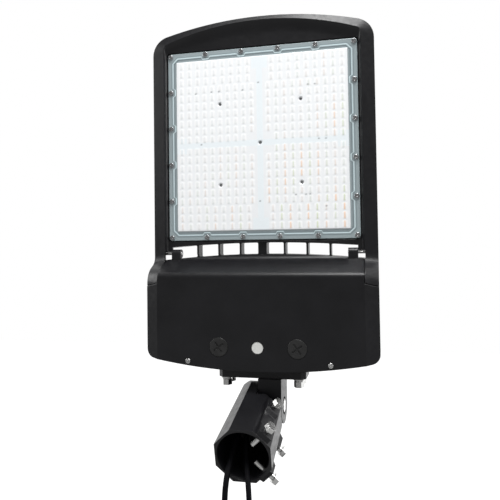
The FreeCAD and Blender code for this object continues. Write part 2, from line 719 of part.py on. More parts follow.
def led_board(side_u, side_v):
    inner = LED_BOARD_GAP / 2
    board = box(inner, LED_BOARD_HALF, inner, LED_BOARD_HALF, FLOOR_N, FLOOR_N + BOARD_THICK)
    board = board.common(rounded_square(LED_BOARD_HALF, WELL_CORNER, FLOOR_N, FLOOR_N + BOARD_THICK))
    board = board.cut([rod(u, v, FLOOR_N - 1, 0, M3 + 0.5) for u, v in ((0, 0), (CENTRE_SCREW, CENTRE_SCREW))])
    return side_shape(board, side_u, side_v)


def side_shape(shape, side_u, side_v):
    if side_u < 0:
        shape = mirrored(shape)
    if side_v < 0:
        shape = shape.mirror(vec(0, 0), vec(0, 1, 0))
    return shape


def led_places():
    """Places on the upper right board; one at each of the two screws is left out."""
    places = []
    for row in range(LED_ROWS):
        first, pitch, count = LED_LONG_ROW if row < LED_LONG_ROWS else LED_SHORT_ROW
        places += [(first + pitch * k, LED_ROW_FIRST + LED_ROW_PITCH * row) for k in range(count)]
    left_out = [min(places, key=lambda p: math.hypot(p[0] - s, p[1] - s)) for s in (0, CENTRE_SCREW)]
    return [p for p in places if p not in left_out]


def led_chips():
    top = FLOOR_N + BOARD_THICK
    return [centred_box((LED_SIZE, LED_SIZE, LED_HIGH), (side_u * u, side_v * v), top)
            for side_u in (-1, 1) for side_v in (-1, 1) for u, v in led_places()]


def led_lead():
    length = CONNECTOR_TOP_V - CONNECTOR_LONG - driver_top_v()
    return Part.makeCylinder(LEAD_RADIUS, length, vec(0, driver_top_v(), LEAD_N), vec(0, 1, 0))


def led_connector():
    return box(-CONNECTOR_HALF, CONNECTOR_HALF, CONNECTOR_TOP_V - CONNECTOR_LONG, CONNECTOR_TOP_V,
               LEAD_N - LEAD_RADIUS, FLOOR_N)


# ---- pieces inside the case -----------------------------------------------------------
def driver_top_v():
    return DRIVER_CENTRE[1] + DRIVER_WIDE / 2


def driver_long():
    """Length that leaves DRIVER_END_ROOM beside the left ear."""
    room = COVER_CENTRE_HALF - CASE_WALL + DRIVER_CENTRE[0]
    return 2 * (room - DRIVER_EAR - DRIVER_END_ROOM)


def driver_screw_places():
    reach = driver_long() / 2 + DRIVER_EAR / 2
    return [(DRIVER_CENTRE[0] + s * reach, DRIVER_CENTRE[1] + t * DRIVER_SCREW_V) for s in (-1, 1) for t in (-1, 1)]


def led_driver():
    seat = driver_seat_n()
    body = centred_box((driver_long(), DRIVER_WIDE, DRIVER_HIGH), DRIVER_CENTRE, seat)
    top_edges = [e for e in body.Edges
                 if e.BoundBox.XLength > driver_long() / 2 and e.BoundBox.ZMin > seat + DRIVER_HIGH / 2]
    body = body.makeFillet(DRIVER_EDGE, top_edges)
    ears = centred_box((driver_long() + 2 * DRIVER_EAR, DRIVER_WIDE - 2 * DRIVER_EAR_INSET, DRIVER_EAR_THICK),
                       DRIVER_CENTRE, seat)
    holes = [rod(u, v, seat - 1, seat + DRIVER_EAR_THICK + 1, M4 + LENS_HOLE_GAP) for u, v in driver_screw_places()]
    return body.fuse(ears).cut(holes).removeSplitter()


def driver_screws():
    seat = driver_seat_n() + DRIVER_EAR_THICK
    return [pan_screw(u, v, seat, DRIVER_SCREW_LENGTH, M4, LENS_HEAD_RADIUS, LENS_HEAD)
            for u, v in driver_screw_places()]


def floor_block(size, centre, edge):
    block = centred_box(size, centre, BACK_N + CASE_FLOOR)
    upright = [e for e in block.Edges if e.BoundBox.ZLength > size[2] * 0.9]
    return block.makeFillet(edge, upright)


def terminal_block():
    block = floor_block(TERMINAL_SIZE, TERMINAL_CENTRE, 1.0)
    top = BACK_N + CASE_FLOOR + TERMINAL_SIZE[2]
    radius, deep = TERMINAL_WELL
    middle = (TERMINAL_WAYS - 1) / 2
    wells = [rod(TERMINAL_CENTRE[0] + (k - middle) * TERMINAL_PITCH, TERMINAL_CENTRE[1], top - deep, top + 1, radius)
             for k in range(TERMINAL_WAYS)]
    return block.cut(wells)


def ground_screw():
    return pan_screw(*GROUND_AT, BACK_N + CASE_FLOOR, GROUND_GRIP, M4, GROUND_HEAD_RADIUS, GROUND_HEAD)


def vent_place():
    return -(HALF_WIDTH - VENT_INSET), VENT_V


def breather_vent():
    stem = rod(*vent_place(), BACK_N - 0.01, BACK_N + CASE_FLOOR + VENT_INSIDE, VENT_RADIUS)
    cap = rod(*vent_place(), BACK_N - VENT_CAP, BACK_N, VENT_CAP_RADIUS)
    return stem.fuse(cap).removeSplitter()


def entry_grommet():
    long = PAD_INNER_V - PAD_V
    body = Part.makeCylinder(WIRE_HOLE_RADIUS - THREAD_FIT, long, vec(0, 0), vec(0, 0, 1))
    flange = Part.makeCylinder(WIRE_HOLE_RADIUS + ENTRY_FLANGE, ENTRY_FLANGE_THICK, vec(0, 0, long), vec(0, 0, 1))
    bore = Part.makeCylinder(WIRE_HOLE_RADIUS - ENTRY_WALL, long + ENTRY_FLANGE_THICK + 2, vec(0, 0, -1), vec(0, 0, 1))
    return along(body.fuse(flange).cut(bore), vec(arm_centre_u(), PAD_V, PIVOT_N), vec(0, 1, 0))


# ---- driver cover and what it carries ---------------------------------------------------
def cover_band(inset, half):
    """Centre of the cover: lip, S-shaped band and front, down to the low rim."""
    rim = LOW_RIM_N - (1 if inset else 0)
    lip_n = LIP_N - inset
    front_n = COVER_N - inset
    start_v = HINGE_V + 4
    deep_v = STEP_V - (LOBE_SKIN if inset else 0)
    points = [vec(-half, deep_v, rim), vec(-half, start_v, rim), vec(-half, start_v, lip_n),
              vec(-half, BAND_TOP_V, lip_n)]
    edges = [line(points[k], points[k + 1]) for k in range(3)]
    edges += step_edges(-half, BAND_TOP_V, lip_n, BAND_BOTTOM_V, front_n, BAND_R + inset, BAND_R - inset)
    last = vec(-half, BAND_BOTTOM_V, front_n)
    deep = vec(-half, deep_v, front_n)
    edges += [line(last, deep), line(deep, points[0])]
    block = Part.Face(Part.Wire(edges)).extrude(vec(2 * half, 0, 0))
    return block.common(case_top_disc(inset, BACK_N, COVER_N + 10))


def cover_front(inset, top_v, n0):
    """Lower part of the cover with its bevelled sides."""
    slope = (COVER_N - COVER_EDGE_N) / (HALF_WIDTH - COVER_FLAT_HALF)
    drop = inset * math.hypot(1, slope)
    half = HALF_WIDTH - inset
    edge_n = COVER_EDGE_N + slope * inset - drop
    front_n = COVER_N - inset
    flat = half - (front_n - edge_n) / slope
    section = [vec(-half, top_v, n0), vec(-half, top_v, edge_n), vec(-flat, top_v, front_n),
               vec(flat, top_v, front_n), vec(half, top_v, edge_n), vec(half, top_v, n0)]
    bar = polygon(section).extrude(vec(0, CASE_BOTTOM_V - 10 - top_v, 0))
    return bar.common(case_prism(inset, n0, COVER_N + 1, top_v))


def cover_outside():
    """Lower front and the lobes that meet the arm ends."""
    front = cover_front(0, STEP_V, RIM_N)
    whole = cover_front(0, BAND_BOTTOM_V - 4, RIM_N)
    lobe = whole.common(box(COVER_CENTRE_HALF, HALF_WIDTH + 1, STEP_V - 1, BAND_BOTTOM_V, RIM_N, COVER_N + 1))
    cones = both_sides(seam_cone(PART_GAP / 2, COVER_CENTRE_HALF, HALF_WIDTH + 2))
    return fused([cover_band(0, COVER_CENTRE_HALF), front, lobe, mirrored(lobe)]).cut(cones)


def cover_inside():
    half = COVER_CENTRE_HALF - COVER_WALL
    middle = cover_front(COVER_WALL, STEP_V - LOBE_SKIN + 0.5, RIM_N - 1)
    middle = middle.common(box(-half, half, CASE_BOTTOM_V, STEP_V, RIM_N - 2, COVER_N))
    return fused([cover_band(COVER_WALL, half), middle, cover_front(COVER_WALL, STEP_V - 2 * LOBE_SKIN, RIM_N - 1)])


def cover_hook():
    ring = Part.makeCylinder(HOOK_RADIUS, HOOK_TO - HOOK_FROM, vec(HOOK_FROM, HINGE_V, HINGE_N), vec(1, 0, 0))
    web = box(HOOK_FROM, HOOK_TO, CASE_TOP_V - HOOK_WEB, HINGE_V, LOW_RIM_N, HINGE_N + HOOK_RADIUS)
    long = HOOK_TO - HOOK_FROM + 2
    bore = Part.makeCylinder(PIN_RADIUS + HOOK_FIT, long, vec(HOOK_FROM - 1, HINGE_V, HINGE_N), vec(1, 0, 0))
    return ring.fuse(web), bore


def driver_cover():
    shell = cover_outside().cut(cover_inside())
    ring, bore = cover_hook()
    inside = COVER_N - COVER_WALL
    bosses = [rod(s * PLUG_U, ROW_V, COVER_N - PLUG_HEAD - PLUG_BOSS_WALL, inside + 0.5, PLUG_RADIUS + 2.0)
              for s in (-1, 1)]
    bosses += [rod(s * COVER_SCREW_U, COVER_SCREW_V, SCREW_POST_END_N, inside + 0.5, SCREW_POST_RADIUS)
               for s in (-1, 1)]
    bosses += [rod(s * CONTROL_POST_U, ROW_V, CONTROL_N + BOARD_THICK, inside + 0.5, CONTROL_POST_RADIUS)
               for s in (-1, 1)]
    shell = fused([shell] + both_sides(ring) + bosses)
    holes = both_sides(bore)
    for side in (-1, 1):
        holes.append(rod(side * PLUG_U, ROW_V, COVER_N - PLUG_HEAD, COVER_N + 1, PLUG_RADIUS + PLUG_GAP))
        holes.append(rod(side * PLUG_U, ROW_V, 0, COVER_N, PLUG_STEM_RADIUS + PLUG_GAP))
        holes.append(rod(side * COVER_SCREW_U, COVER_SCREW_V, 0, COVER_N + 1, M4 + THREAD_FIT))
        holes.append(rod(side * CONTROL_POST_U, ROW_V, 0, CONTROL_N + CONTROL_SCREW + 1, M3 + THREAD_FIT))
    holes.append(rod(0, ROW_V, 0, COVER_N + 1, WINDOW_RADIUS + WINDOW_GAP))
    return shell.cut(holes)


def hinge_pin(extra):
    start = HOOK_FROM - 0.5
    end = RIDGE_HALF + PIN_INTO_ARM
    return Part.makeCylinder(PIN_RADIUS + extra, end - start, vec(start, HINGE_V, HINGE_N), vec(1, 0, 0))


def cover_gasket():
    rim_top = RIM_N - SEAL_THICK
    top_v = STEP_V - STEP_GAP - SEAL_EDGE
    inner = SEAL_EDGE + SEAL_WIDTH
    ring = case_prism(SEAL_EDGE, rim_top, RIM_N, top_v).cut(
        case_prism(inner, rim_top - 1, RIM_N + 1, top_v + 1))
    ring = ring.cut(both_sides(seam_cone(PART_GAP / 2, COVER_CENTRE_HALF, HALF_WIDTH + 1)))
    half = COVER_CENTRE_HALF - SEAL_EDGE
    low = LOW_RIM_N - SEAL_THICK
    frame = box(-half, half, STEP_V, CASE_TOP_V, low, LOW_RIM_N)
    disc = case_top_disc(SEAL_EDGE, low, LOW_RIM_N)
    hole = box(-half + SEAL_WIDTH, half - SEAL_WIDTH, STEP_V - 1, CASE_TOP_V, low - 1, LOW_RIM_N + 1)
    inner_disc = case_top_disc(inner, low - 1, LOW_RIM_N + 1)
    return [ring, frame.common(disc).cut(hole.common(inner_disc))]


def cover_screws():
    screws = []
    for side in (-1, 1):
        screws.append(pan_screw(side * COVER_SCREW_U, COVER_SCREW_V, COVER_N, COVER_N - SCREW_TIP_N, M4,
                                SCREW_HEAD_RADIUS, SCREW_HEAD))
    return screws


def sensor_window():
    inside = COVER_N - COVER_WALL
    disc = rod(0, ROW_V, inside - 0.01, COVER_N - WINDOW_SUNK, WINDOW_RADIUS)
    flange = rod(0, ROW_V, inside - WINDOW_FLANGE_THICK, inside, WINDOW_RADIUS + WINDOW_FLANGE)
    return disc.fuse(flange).removeSplitter()


def plug_cap(u):
    low = COVER_N - PLUG_HEAD + SEAL_CORD / 2
    high = COVER_N + PLUG_PROUD
    head = rod(u, ROW_V, low, high, PLUG_RADIUS)
    edge = [e for e in head.Edges if e.BoundBox.ZMin > COVER_N]
    head = head.makeFillet(PLUG_PROUD, edge)
    stem = rod(u, ROW_V, low - PLUG_STEM, low + 0.5, PLUG_STEM_RADIUS)
    slot = box(u - SLOT_HALF, u + SLOT_HALF, ROW_V - SLOT_WIDTH / 2, ROW_V + SLOT_WIDTH / 2,
               high - SLOT_DEEP, high + 1)
    across = slot.copy()
    across.rotate(vec(u, ROW_V), vec(0, 0, 1), 90)
    cap = head.fuse(stem).cut([slot, across])
    cap.rotate(vec(u, ROW_V), vec(0, 0, 1), PLUG_TURNED)
    return cap


def plug_seal(u):
    seat = COVER_N - PLUG_HEAD
    ring = rod(u, ROW_V, seat, seat + SEAL_CORD / 2, PLUG_RADIUS - SEAL_EDGE)
    return ring.cut(rod(u, ROW_V, seat - 1, seat + 2, PLUG_STEM_RADIUS + PLUG_GAP))


def control_board():
    board = box(-CONTROL_HALF, CONTROL_HALF, ROW_V - CONTROL_DEEP / 2, ROW_V + CONTROL_DEEP / 2,
                CONTROL_N, CONTROL_N + BOARD_THICK)
    return board.cut([rod(s * CONTROL_POST_U, ROW_V, CONTROL_N - 1, CONTROL_N + BOARD_THICK + 1, M3 + 0.2)
                      for s in (-1, 1)])


def control_screws():
    screws = []
    for side in (-1, 1):
        head = rod(side * CONTROL_POST_U, ROW_V, CONTROL_N - CONTROL_HEAD, CONTROL_N, CONTROL_HEAD_RADIUS)
        screws.append(head.fuse(rod(side * CONTROL_POST_U, ROW_V, CONTROL_N, CONTROL_N + CONTROL_SCREW, M3)))
    return screws


def switch_top():
    return CONTROL_N + BOARD_THICK + SWITCH_SIZE[2]


def switch_body(u):
    body = centred_box(SWITCH_SIZE, (u, ROW_V), CONTROL_N + BOARD_THICK)
    slot = (SLIDER_SIZE[0] + 2 * SLIDER_TRAVEL + 2 * SLIDER_CLEAR, SLIDER_SIZE[1] + 2 * SLIDER_CLEAR, SLIDER_SIZE[2])
    return body.cut(centred_box(slot, (u, ROW_V), switch_top() - SLIDER_SUNK))


def slider(u):
    return centred_box(SLIDER_SIZE, (u, ROW_V), switch_top() - SLIDER_SUNK)


def light_sensor():
    top = COVER_N - COVER_WALL - WINDOW_FLANGE_THICK - SENSOR_GAP
    return rod(0, ROW_V, CONTROL_N + BOARD_THICK, top, SENSOR_RADIUS)


# ---- bracket under the case -------------------------------------------------------------
def plate_bolt_places():
    return [(s * BOLT_U, n) for s in (-1, 1) for n in BOLT_NS]


def plate_outline(half, v):
    cut = PLATE_CHAMFER
    back, front = PAD_BACK_N, PAD_FRONT_N
    return polygon([vec(-half + cut, v, back), vec(-half, v, back + cut), vec(-half, v, front - cut),
                    vec(-half + cut, v, front), vec(half - cut, v, front), vec(half, v, front - cut),
                    vec(half, v, back + cut), vec(half - cut, v, back)])


def through_plate(radius, places):
    return [Part.makeCylinder(radius, 60, vec(u, PAD_V + 20, n), vec(0, -1, 0)) for u, n in places]


def bracket_gasket():
    sheet = plate_outline(PLATE_HALF, PAD_V).extrude(vec(0, -PLATE_GASKET, 0))
    return sheet.cut(through_plate(M8 + BOLT_LOOSE, plate_bolt_places())
                     + through_plate(WIRE_HOLE_RADIUS, [(arm_centre_u(), PIVOT_N)]))


def across_pivot(x0, x1, radius):
    """Cylinder along the pivot axis, x measured from the pivot plane."""
    return Part.makeCylinder(radius, x1 - x0, vec(PIVOT_U + x0, PIVOT_V, PIVOT_N), vec(1, 0, 0))


def bracket_arm():
    top_v = PAD_V - PLATE_GASKET - PLATE_THICK
    u0 = PIVOT_U + ARM_FROM_X
    straight = box(u0, u0 + ARM_WIDTH, PIVOT_V, top_v, PIVOT_N - ARM_HALF_DEPTH, PIVOT_N + ARM_HALF_DEPTH)
    return straight.fuse(across_pivot(ARM_FROM_X, ARM_FROM_X + ARM_WIDTH, ARM_HALF_DEPTH))


def teeth_ring(face_x, into):
    """Annular groove in a knuckle face and the radial teeth that stand in it."""
    groove = Part.makeCylinder(TOOTH_OUTER + 0.4, TOOTH_HIGH, vec(0, 0), vec(0, 0, into))
    groove = groove.cut(Part.makeCylinder(TOOTH_INNER - 0.4, TOOTH_HIGH * 3, vec(0, 0, -TOOTH_HIGH), vec(0, 0, 1)))
    floor = TOOTH_HIGH * into
    profile = polygon([vec(TOOTH_INNER, -TOOTH_WIDTH / 2, floor * 1.2), vec(TOOTH_INNER, 0, 0.1 * into),
                       vec(TOOTH_INNER, TOOTH_WIDTH / 2, floor * 1.2)])
    tooth = profile.extrude(vec(TOOTH_OUTER - TOOTH_INNER, 0, 0))
    teeth = []
    for k in range(TOOTH_COUNT):
        copy = tooth.copy()
        copy.rotate(vec(0, 0), vec(0, 0, 1), 360.0 * k / TOOTH_COUNT)
        teeth.append(copy)
    return groove, teeth


def mounting_bracket():
    plate = plate_outline(PLATE_HALF, PAD_V - PLATE_GASKET).extrude(vec(0, -PLATE_THICK, 0))
    body = plate.fuse(bracket_arm())
    low, high = PIVOT_U + ARM_CAVITY[0], PIVOT_U + ARM_CAVITY[1]
    cavity = box(low, high, PIVOT_V, PAD_V + 5, PIVOT_N - ARM_CAVITY_HALF + 8, PIVOT_N + ARM_CAVITY_HALF - 8)
    cavity = cavity.fuse(across_pivot(*ARM_CAVITY, ARM_CAVITY_HALF))
    body = body.cut([cavity] + through_plate(M8 + BOLT_LOOSE, plate_bolt_places())
                    + [across_pivot(-1, ARM_CAVITY[0] + 1, WIREWAY_RADIUS),
                       across_pivot(0, 60, PIVOT_BOLT + PIVOT_FIT),
                       across_pivot(HEAD_RECESS_X, 60, RECESS_RADIUS)])
    groove, teeth = teeth_ring(0, 1)
    base = vec(PIVOT_U + ARM_FROM_X, PIVOT_V, PIVOT_N)
    body = body.cut(along(groove, base, vec(1, 0, 0)))
    return fused([body] + [along_x(t, base) for t in teeth])


def along_x(shape, base):
    """Turns the tooth ring's axis from Z to X, on top of the tooth's own turn."""
    moved = shape.copy()
    moved.rotate(vec(0, 0), vec(0, 1, 0), 90)
    moved.translate(base)
    return moved


def plate_under():
    return PAD_V - PLATE_GASKET - PLATE_THICK


def stacked(places, top_v, thick, radius, hole):
    rings = []
    for u, n in places:
        ring = Part.makeCylinder(radius, thick, vec(u, top_v, n), vec(0, -1, 0))
        rings.append(ring.cut(Part.makeCylinder(hole, thick + 2, vec(u, top_v + 1, n), vec(0, -1, 0))))
    return rings


def bracket_washers():
    return stacked(plate_bolt_places(), plate_under(), WASHER_THICK, WASHER_RADIUS, M8 + BOLT_LOOSE)


def lock_washers():
    rings = stacked(plate_bolt_places(), plate_under() - WASHER_THICK, LOCK_THICK, LOCK_RADIUS, M8 + 0.1)
    low = plate_under() - WASHER_THICK - 2 * LOCK_THICK
    return [ring.cut(box(u - LOCK_SLOT / 2, u + LOCK_SLOT / 2, low, plate_under(), n, n + 2 * LOCK_RADIUS))
            for ring, (u, n) in zip(rings, plate_bolt_places())]


def bracket_bolts():
    seat = plate_under() - WASHER_THICK - LOCK_THICK
    head = hexagon(BOLT_HEAD_ACROSS, BOLT_HEAD)
    bolts = []
    for u, n in plate_bolt_places():
        shank = Part.makeCylinder(M8, BOLT_SHANK, vec(u, seat, n), vec(0, 1, 0))
        bolts.append(along(head, vec(u, seat, n), vec(0, -1, 0)).fuse(shank))
    return bolts


# ---- slip fitter, in its own frame --------------------------------------------------------
def octagon(radius, s):
    corners = [vec(radius * math.cos(math.radians(22.5 + 45 * k)), radius * math.sin(math.radians(22.5 + 45 * k)), s)
               for k in range(8)]
    return Part.makePolygon(corners + [corners[0]])


def about_pivot(x0, x1, radius):
    return Part.makeCylinder(radius, x1 - x0, vec(x0, 0, PIVOT_TO_MOUTH), vec(1, 0, 0))


def bolt_direction(row):
    return vec(math.sqrt(0.5), row * math.sqrt(0.5), 0)


def bolt_rail(row):
    face = polygon([vec(r, -RAIL_HALF, s) for s, r in RAIL])
    rail = face.extrude(vec(0, 2 * RAIL_HALF, 0))
    rail.rotate(vec(0, 0), vec(0, 0, 1), row * 45)
    return rail


def slip_fitter_body():
    grow = (FAR_RADIUS - MOUTH_RADIUS) / FAR_S
    end_s = PIVOT_TO_MOUTH + TONGUE_RADIUS + 5
    tube = Part.makeLoft([octagon(MOUTH_RADIUS, 0), octagon(MOUTH_RADIUS + grow * end_s, end_s)], True, True)
    wide = MOUTH_RADIUS + 5
    keep_low = box(-wide, wide, -wide, wide, -1, RIGHT_END).fuse(
        box(-wide, TONGUE_X, -wide, wide, RIGHT_END - 1, PIVOT_TO_MOUTH))
    keep = keep_low.fuse(about_pivot(-wide, TONGUE_X, TONGUE_RADIUS))
    body = tube.common(keep)
    body = fused([body, bolt_rail(-1), bolt_rail(1)])
    cuts = [about_pivot(TONGUE_X, wide, ARM_HALF_DEPTH + KNUCKLE_CLEAR),
            rod(0, 0, -1, BORE_DEPTH, BORE_RADIUS),
            Part.makeCone(BORE_RADIUS + BORE_LEAD, BORE_RADIUS, BORE_LEAD_DEPTH, vec(0, 0), vec(0, 0, 1)),
            Part.makeCone(BORE_RADIUS, BORE_END_RADIUS, BORE_END - BORE_DEPTH, vec(0, 0, BORE_DEPTH), vec(0, 0, 1)),
            rod(GROMMET_X, 0, BORE_END - 1, PIVOT_TO_MOUTH - 12, GROMMET_RADIUS),
            about_pivot(*TONGUE_CAVITY, TONGUE_CAVITY_RADIUS),
            about_pivot(TONGUE_CAVITY[1] - 1, 1, WIREWAY_RADIUS),
            about_pivot(-60, 0, PIVOT_BOLT + PIVOT_FIT),
            about_pivot(-60, NUT_RECESS_X, RECESS_RADIUS)]
    for row in (-1, 1):
        for s in BOLT_S:
            cuts.append(Part.makeCylinder(M8 + THREAD_FIT, 60, vec(0, 0, s), bolt_direction(row)))
    body = body.cut(cuts)
    groove, teeth = teeth_ring(0, -1)
    base = vec(TONGUE_X, 0, PIVOT_TO_MOUTH)
    body = body.cut(along_x(groove, base))
    return fused([body] + [along_x(t, base) for t in teeth])


def set_bolts():
    bolts = []
    for row in (-1, 1):
        out = SET_LOW_OUT if row > 0 else 0.0
        for s in BOLT_S:
            direction = bolt_direction(row)
            tip = direction * (SET_TIP + out) + vec(0, 0, s)
            seat = direction * (SET_TIP + SET_SHANK + out) + vec(0, 0, s)
            shank = Part.makeCylinder(M8, SET_SHANK, tip, direction)
            bolts.append(along(hexagon(BOLT_HEAD_ACROSS, SET_HEAD), seat, direction).fuse(shank))
    return bolts


def cord_grommet():
    flange = rod(GROMMET_X, 0, BORE_END - GROMMET_FLANGE_THICK, BORE_END, GROMMET_FLANGE)
    return flange.fuse(rod(GROMMET_X, 0, BORE_END - 0.01, BORE_END + GROMMET_LONG, GROMMET_RADIUS - 0.05))


def pivot_bolt():
    seat = HEAD_RECESS_X + PIVOT_WASHER
    end = NUT_RECESS_X - PIVOT_WASHER - PIVOT_NUT - 1.5
    head = along(hexagon(PIVOT_HEAD_ACROSS, PIVOT_HEAD), vec(seat, 0, PIVOT_TO_MOUTH), vec(1, 0, 0))
    return head.fuse(about_pivot(end, seat, PIVOT_BOLT))


def pivot_nut():
    seat = NUT_RECESS_X - PIVOT_WASHER
    nut = along(hexagon(PIVOT_HEAD_ACROSS, PIVOT_NUT), vec(seat, 0, PIVOT_TO_MOUTH), vec(-1, 0, 0))
    return nut.cut(about_pivot(-60, 0, PIVOT_BOLT + THREAD_FIT))


def pivot_washers():
    hole = about_pivot(-60, 60, PIVOT_BOLT + THREAD_FIT)
    return [about_pivot(HEAD_RECESS_X, HEAD_RECESS_X + PIVOT_WASHER, PIVOT_WASHER_RADIUS).cut(hole),
            about_pivot(NUT_RECESS_X - PIVOT_WASHER, NUT_RECESS_X, PIVOT_WASHER_RADIUS).cut(hole)]


# ---- cords --------------------------------------------------------------------------------
def route_wire(points):
    """Straight runs joined by tangent arcs, each as large as its two runs allow."""
    nodes = [vec(*p) for p in points]
    edges = []
    radii = []
    start = nodes[0]
    for before, here, after in zip(nodes, nodes[1:], nodes[2:]):
        in_dir = (here - before).normalize()
        out_dir = (after - here).normalize()
        half_turn = in_dir.getAngle(out_dir) / 2
        shorter = min((here - before).Length, (after - here).Length)
        trim = 0.45 * shorter
        radius = trim / math.tan(half_turn)
        radii.append(radius)
        first = here - in_dir * trim
        last = here + out_dir * trim
        bisector = (out_dir - in_dir).normalize()
        middle = here + bisector * (radius / math.cos(half_turn) - radius)
        edges += [line(start, first), arc(first, middle, last)]
        start = last
    edges.append(line(start, nodes[-1]))
    return Part.Wire(edges), radii


def swept(wire, radius):
    first = wire.Edges[0]
    tangent = first.tangentAt(first.FirstParameter)
    circle = Part.Wire(Part.makeCircle(radius, first.valueAt(first.FirstParameter), tangent))
    return wire.makePipeShell([circle], True, False)


def biarc(p0, t0, p1, t1):
    """Two tangent arcs from p0 along t0 to p1 along t1."""
    chord = p1 - p0
    both = t0 + t1
    share = 2 * (1 - t0.dot(t1))
    reach = chord.dot(both)
    if share < 1e-9:
        size = chord.dot(chord) / (2 * reach)
    else:
        size = (math.sqrt(reach ** 2 + share * chord.dot(chord)) - reach) / share
    joint = (p0 + p1 + (t0 - t1) * size) * 0.5
    return [tangent_arc(p0, t0, joint), tangent_arc(p1, t1 * -1, joint)]


def tangent_arc(start, tangent, end):
    chord = end - start
    length = chord.Length
    side = tangent - chord * (tangent.dot(chord) / length ** 2)
    angle = tangent.getAngle(chord)
    middle = (start + end) * 0.5 + side.normalize() * (length / 2 * math.tan(angle / 2))
    return arc(start, middle, end)


def coil_sizes(diameter):
    pitch = diameter + COIL_SPACE
    outer = COIL_MIDDLE * diameter + pitch * (COIL_TURNS - 0.5) / 4
    return pitch, outer


def coil_wire(start, diameter, side):
    """Flat spiral in, one layer back, and out again; it starts and ends going down."""
    pitch, outer = coil_sizes(diameter)
    centre = vec(start[0] + side * outer, start[1], start[2] - diameter)
    steps = 4 * COIL_TURNS
    turn_back = COIL_TURNS / 2.0

    def place(turns):
        inward = min(turns, COIL_TURNS - turns)
        radius = outer - pitch * inward
        layer = min(max((turns - turn_back + 0.25) / 0.5, 0.0), 1.0)
        angle = 2 * math.pi * turns
        spot = vec(-side * radius * math.cos(angle), pitch * layer, -radius * math.sin(angle))
        return centre + spot

    def heading(turns):
        angle = 2 * math.pi * turns
        along_turn = vec(side * math.sin(angle), 0, -math.cos(angle))
        reversing = abs(turns - turn_back) < 0.2
        climb = pitch / (math.pi * (outer - pitch * turn_back)) * 1.5 if reversing else 0.0
        at_end = turns < 0.01 or turns > COIL_TURNS - 0.01
        slope = 0.0
        if not at_end and not reversing:
            slope = pitch / (2 * math.pi * outer) * (1 if turns < turn_back else -1)
        inward_dir = vec(side * math.cos(angle), 0, math.sin(angle))
        return (along_turn + vec(0, climb, 0) + inward_dir * slope).normalize()

    edges = [line(vec(*start), place(0))]
    for k in range(steps):
        edges += biarc(place(k / 4.0), heading(k / 4.0), place((k + 1) / 4.0), heading((k + 1) / 4.0))
    tail = place(COIL_TURNS)
    edges.append(line(tail, tail - vec(0, 0, diameter)))
    return Part.Wire(Part.__sortEdges__(edges))


def least_gap(wire, diameter):
    """Smallest distance between stretches of the tube that aren't neighbours along it."""
    count = int(wire.Length / 3.0)
    points = wire.discretize(Number=count)
    step = wire.Length / (count - 1)
    apart = int(12 * diameter / step)
    best = wire.Length
    for i in range(0, len(points) - apart):
        for j in range(i + apart, len(points)):
            best = min(best, points[i].distanceToPoint(points[j]))
    return best - diameter


def coil(start, diameter, side):
    wire = coil_wire(start, diameter, side)
    solid = swept(wire, diameter / 2)
    drawn = math.pi * diameter ** 2 / 4 * wire.Length
    print("coil length %.0f gap %.2f volume ratio %.4f" % (wire.Length, least_gap(wire, diameter), solid.Volume / drawn))
    return solid


def free_cord(route, diameter):
    wire, radii = route_wire(route)
    solid = swept(wire, diameter / 2)
    drawn = math.pi * diameter ** 2 / 4 * wire.Length
    print("cord length %.0f radii %s volume ratio %.4f"
          % (wire.Length, " ".join("%.0f" % r for r in radii), solid.Volume / drawn))
    return solid


def coil_end(start, diameter):
    pitch = coil_sizes(diameter)[0]
    return vec(start[0], start[1] + pitch, start[2] - 2 * diameter)


def coil_tie(start, diameter, side):
    """Band round the turns on the far side of the coil from where the cord comes in."""
    pitch, outer = coil_sizes(diameter)
    inner = outer - pitch * (COIL_TURNS / 2.0 - 0.25)
    far = start[0] + side * (2 * outer + diameter / 2 + TIE_CLEAR)
    near = start[0] + side * (outer + inner - diameter / 2 - TIE_CLEAR - pitch)
    x0, x1 = min(far, near), max(far, near)
    y0 = start[1] - diameter / 2 - TIE_CLEAR
    y1 = start[1] + pitch + diameter / 2 + TIE_CLEAR
    z = start[2] - diameter
    hole = box(x0, x1, y0, y1, z - TIE_WIDTH, z + TIE_WIDTH)
    t = TIE_THICK
    return box(x0 - t, x1 + t, y0 - t, y1 + t, z - TIE_WIDTH / 2, z + TIE_WIDTH / 2).cut(hole)


def conductors(start, diameter, count):
    end = coil_end(start, diameter)
    spread = WIRE_RADIUS + 0.15 if count == 2 else WIRE_RADIUS * 1.3
    wires = []
    for k in range(count):
        angle = 2 * math.pi * k / count
        base = end + vec(spread * math.cos(angle), spread * math.sin(angle), 0)
        wires.append(Part.makeCylinder(WIRE_RADIUS, WIRE_LONG, base, vec(0, 0, -1)))
    return wires


# ---- placing and writing --------------------------------------------------------------------
HEAD_SHIFT = vec(-PIVOT_U, PIVOT_TO_MOUTH * math.cos(math.radians(TUBE_TILT)) + PIVOT_N,
                 PIVOT_TO_MOUTH * math.sin(math.radians(TUBE_TILT)) - PIVOT_V)


def as_one(shapes):
    if isinstance(shapes, list):
        return Part.makeCompound(shapes)
    return shapes


def place_head(shape):
    shape.rotate(vec(0, 0), vec(1, 0, 0), 90)
    shape.translate(HEAD_SHIFT)
    return shape


def place_fitter(shape):
    shape.rotate(vec(0, 0), vec(1, 0, 0), TUBE_TILT - 90)
    return shape


def in_place(shape):
    return shape


def write(name, shapes, place):
    shape = as_one(shapes).copy()
    shape = place(shape)
    print("%-22s solids %3d valid %s volume %.1f" % (name, len(shape.Solids), shape.isValid(), shape.Volume / 1000))
    shape.exportStep("parts/%s.step" % name)


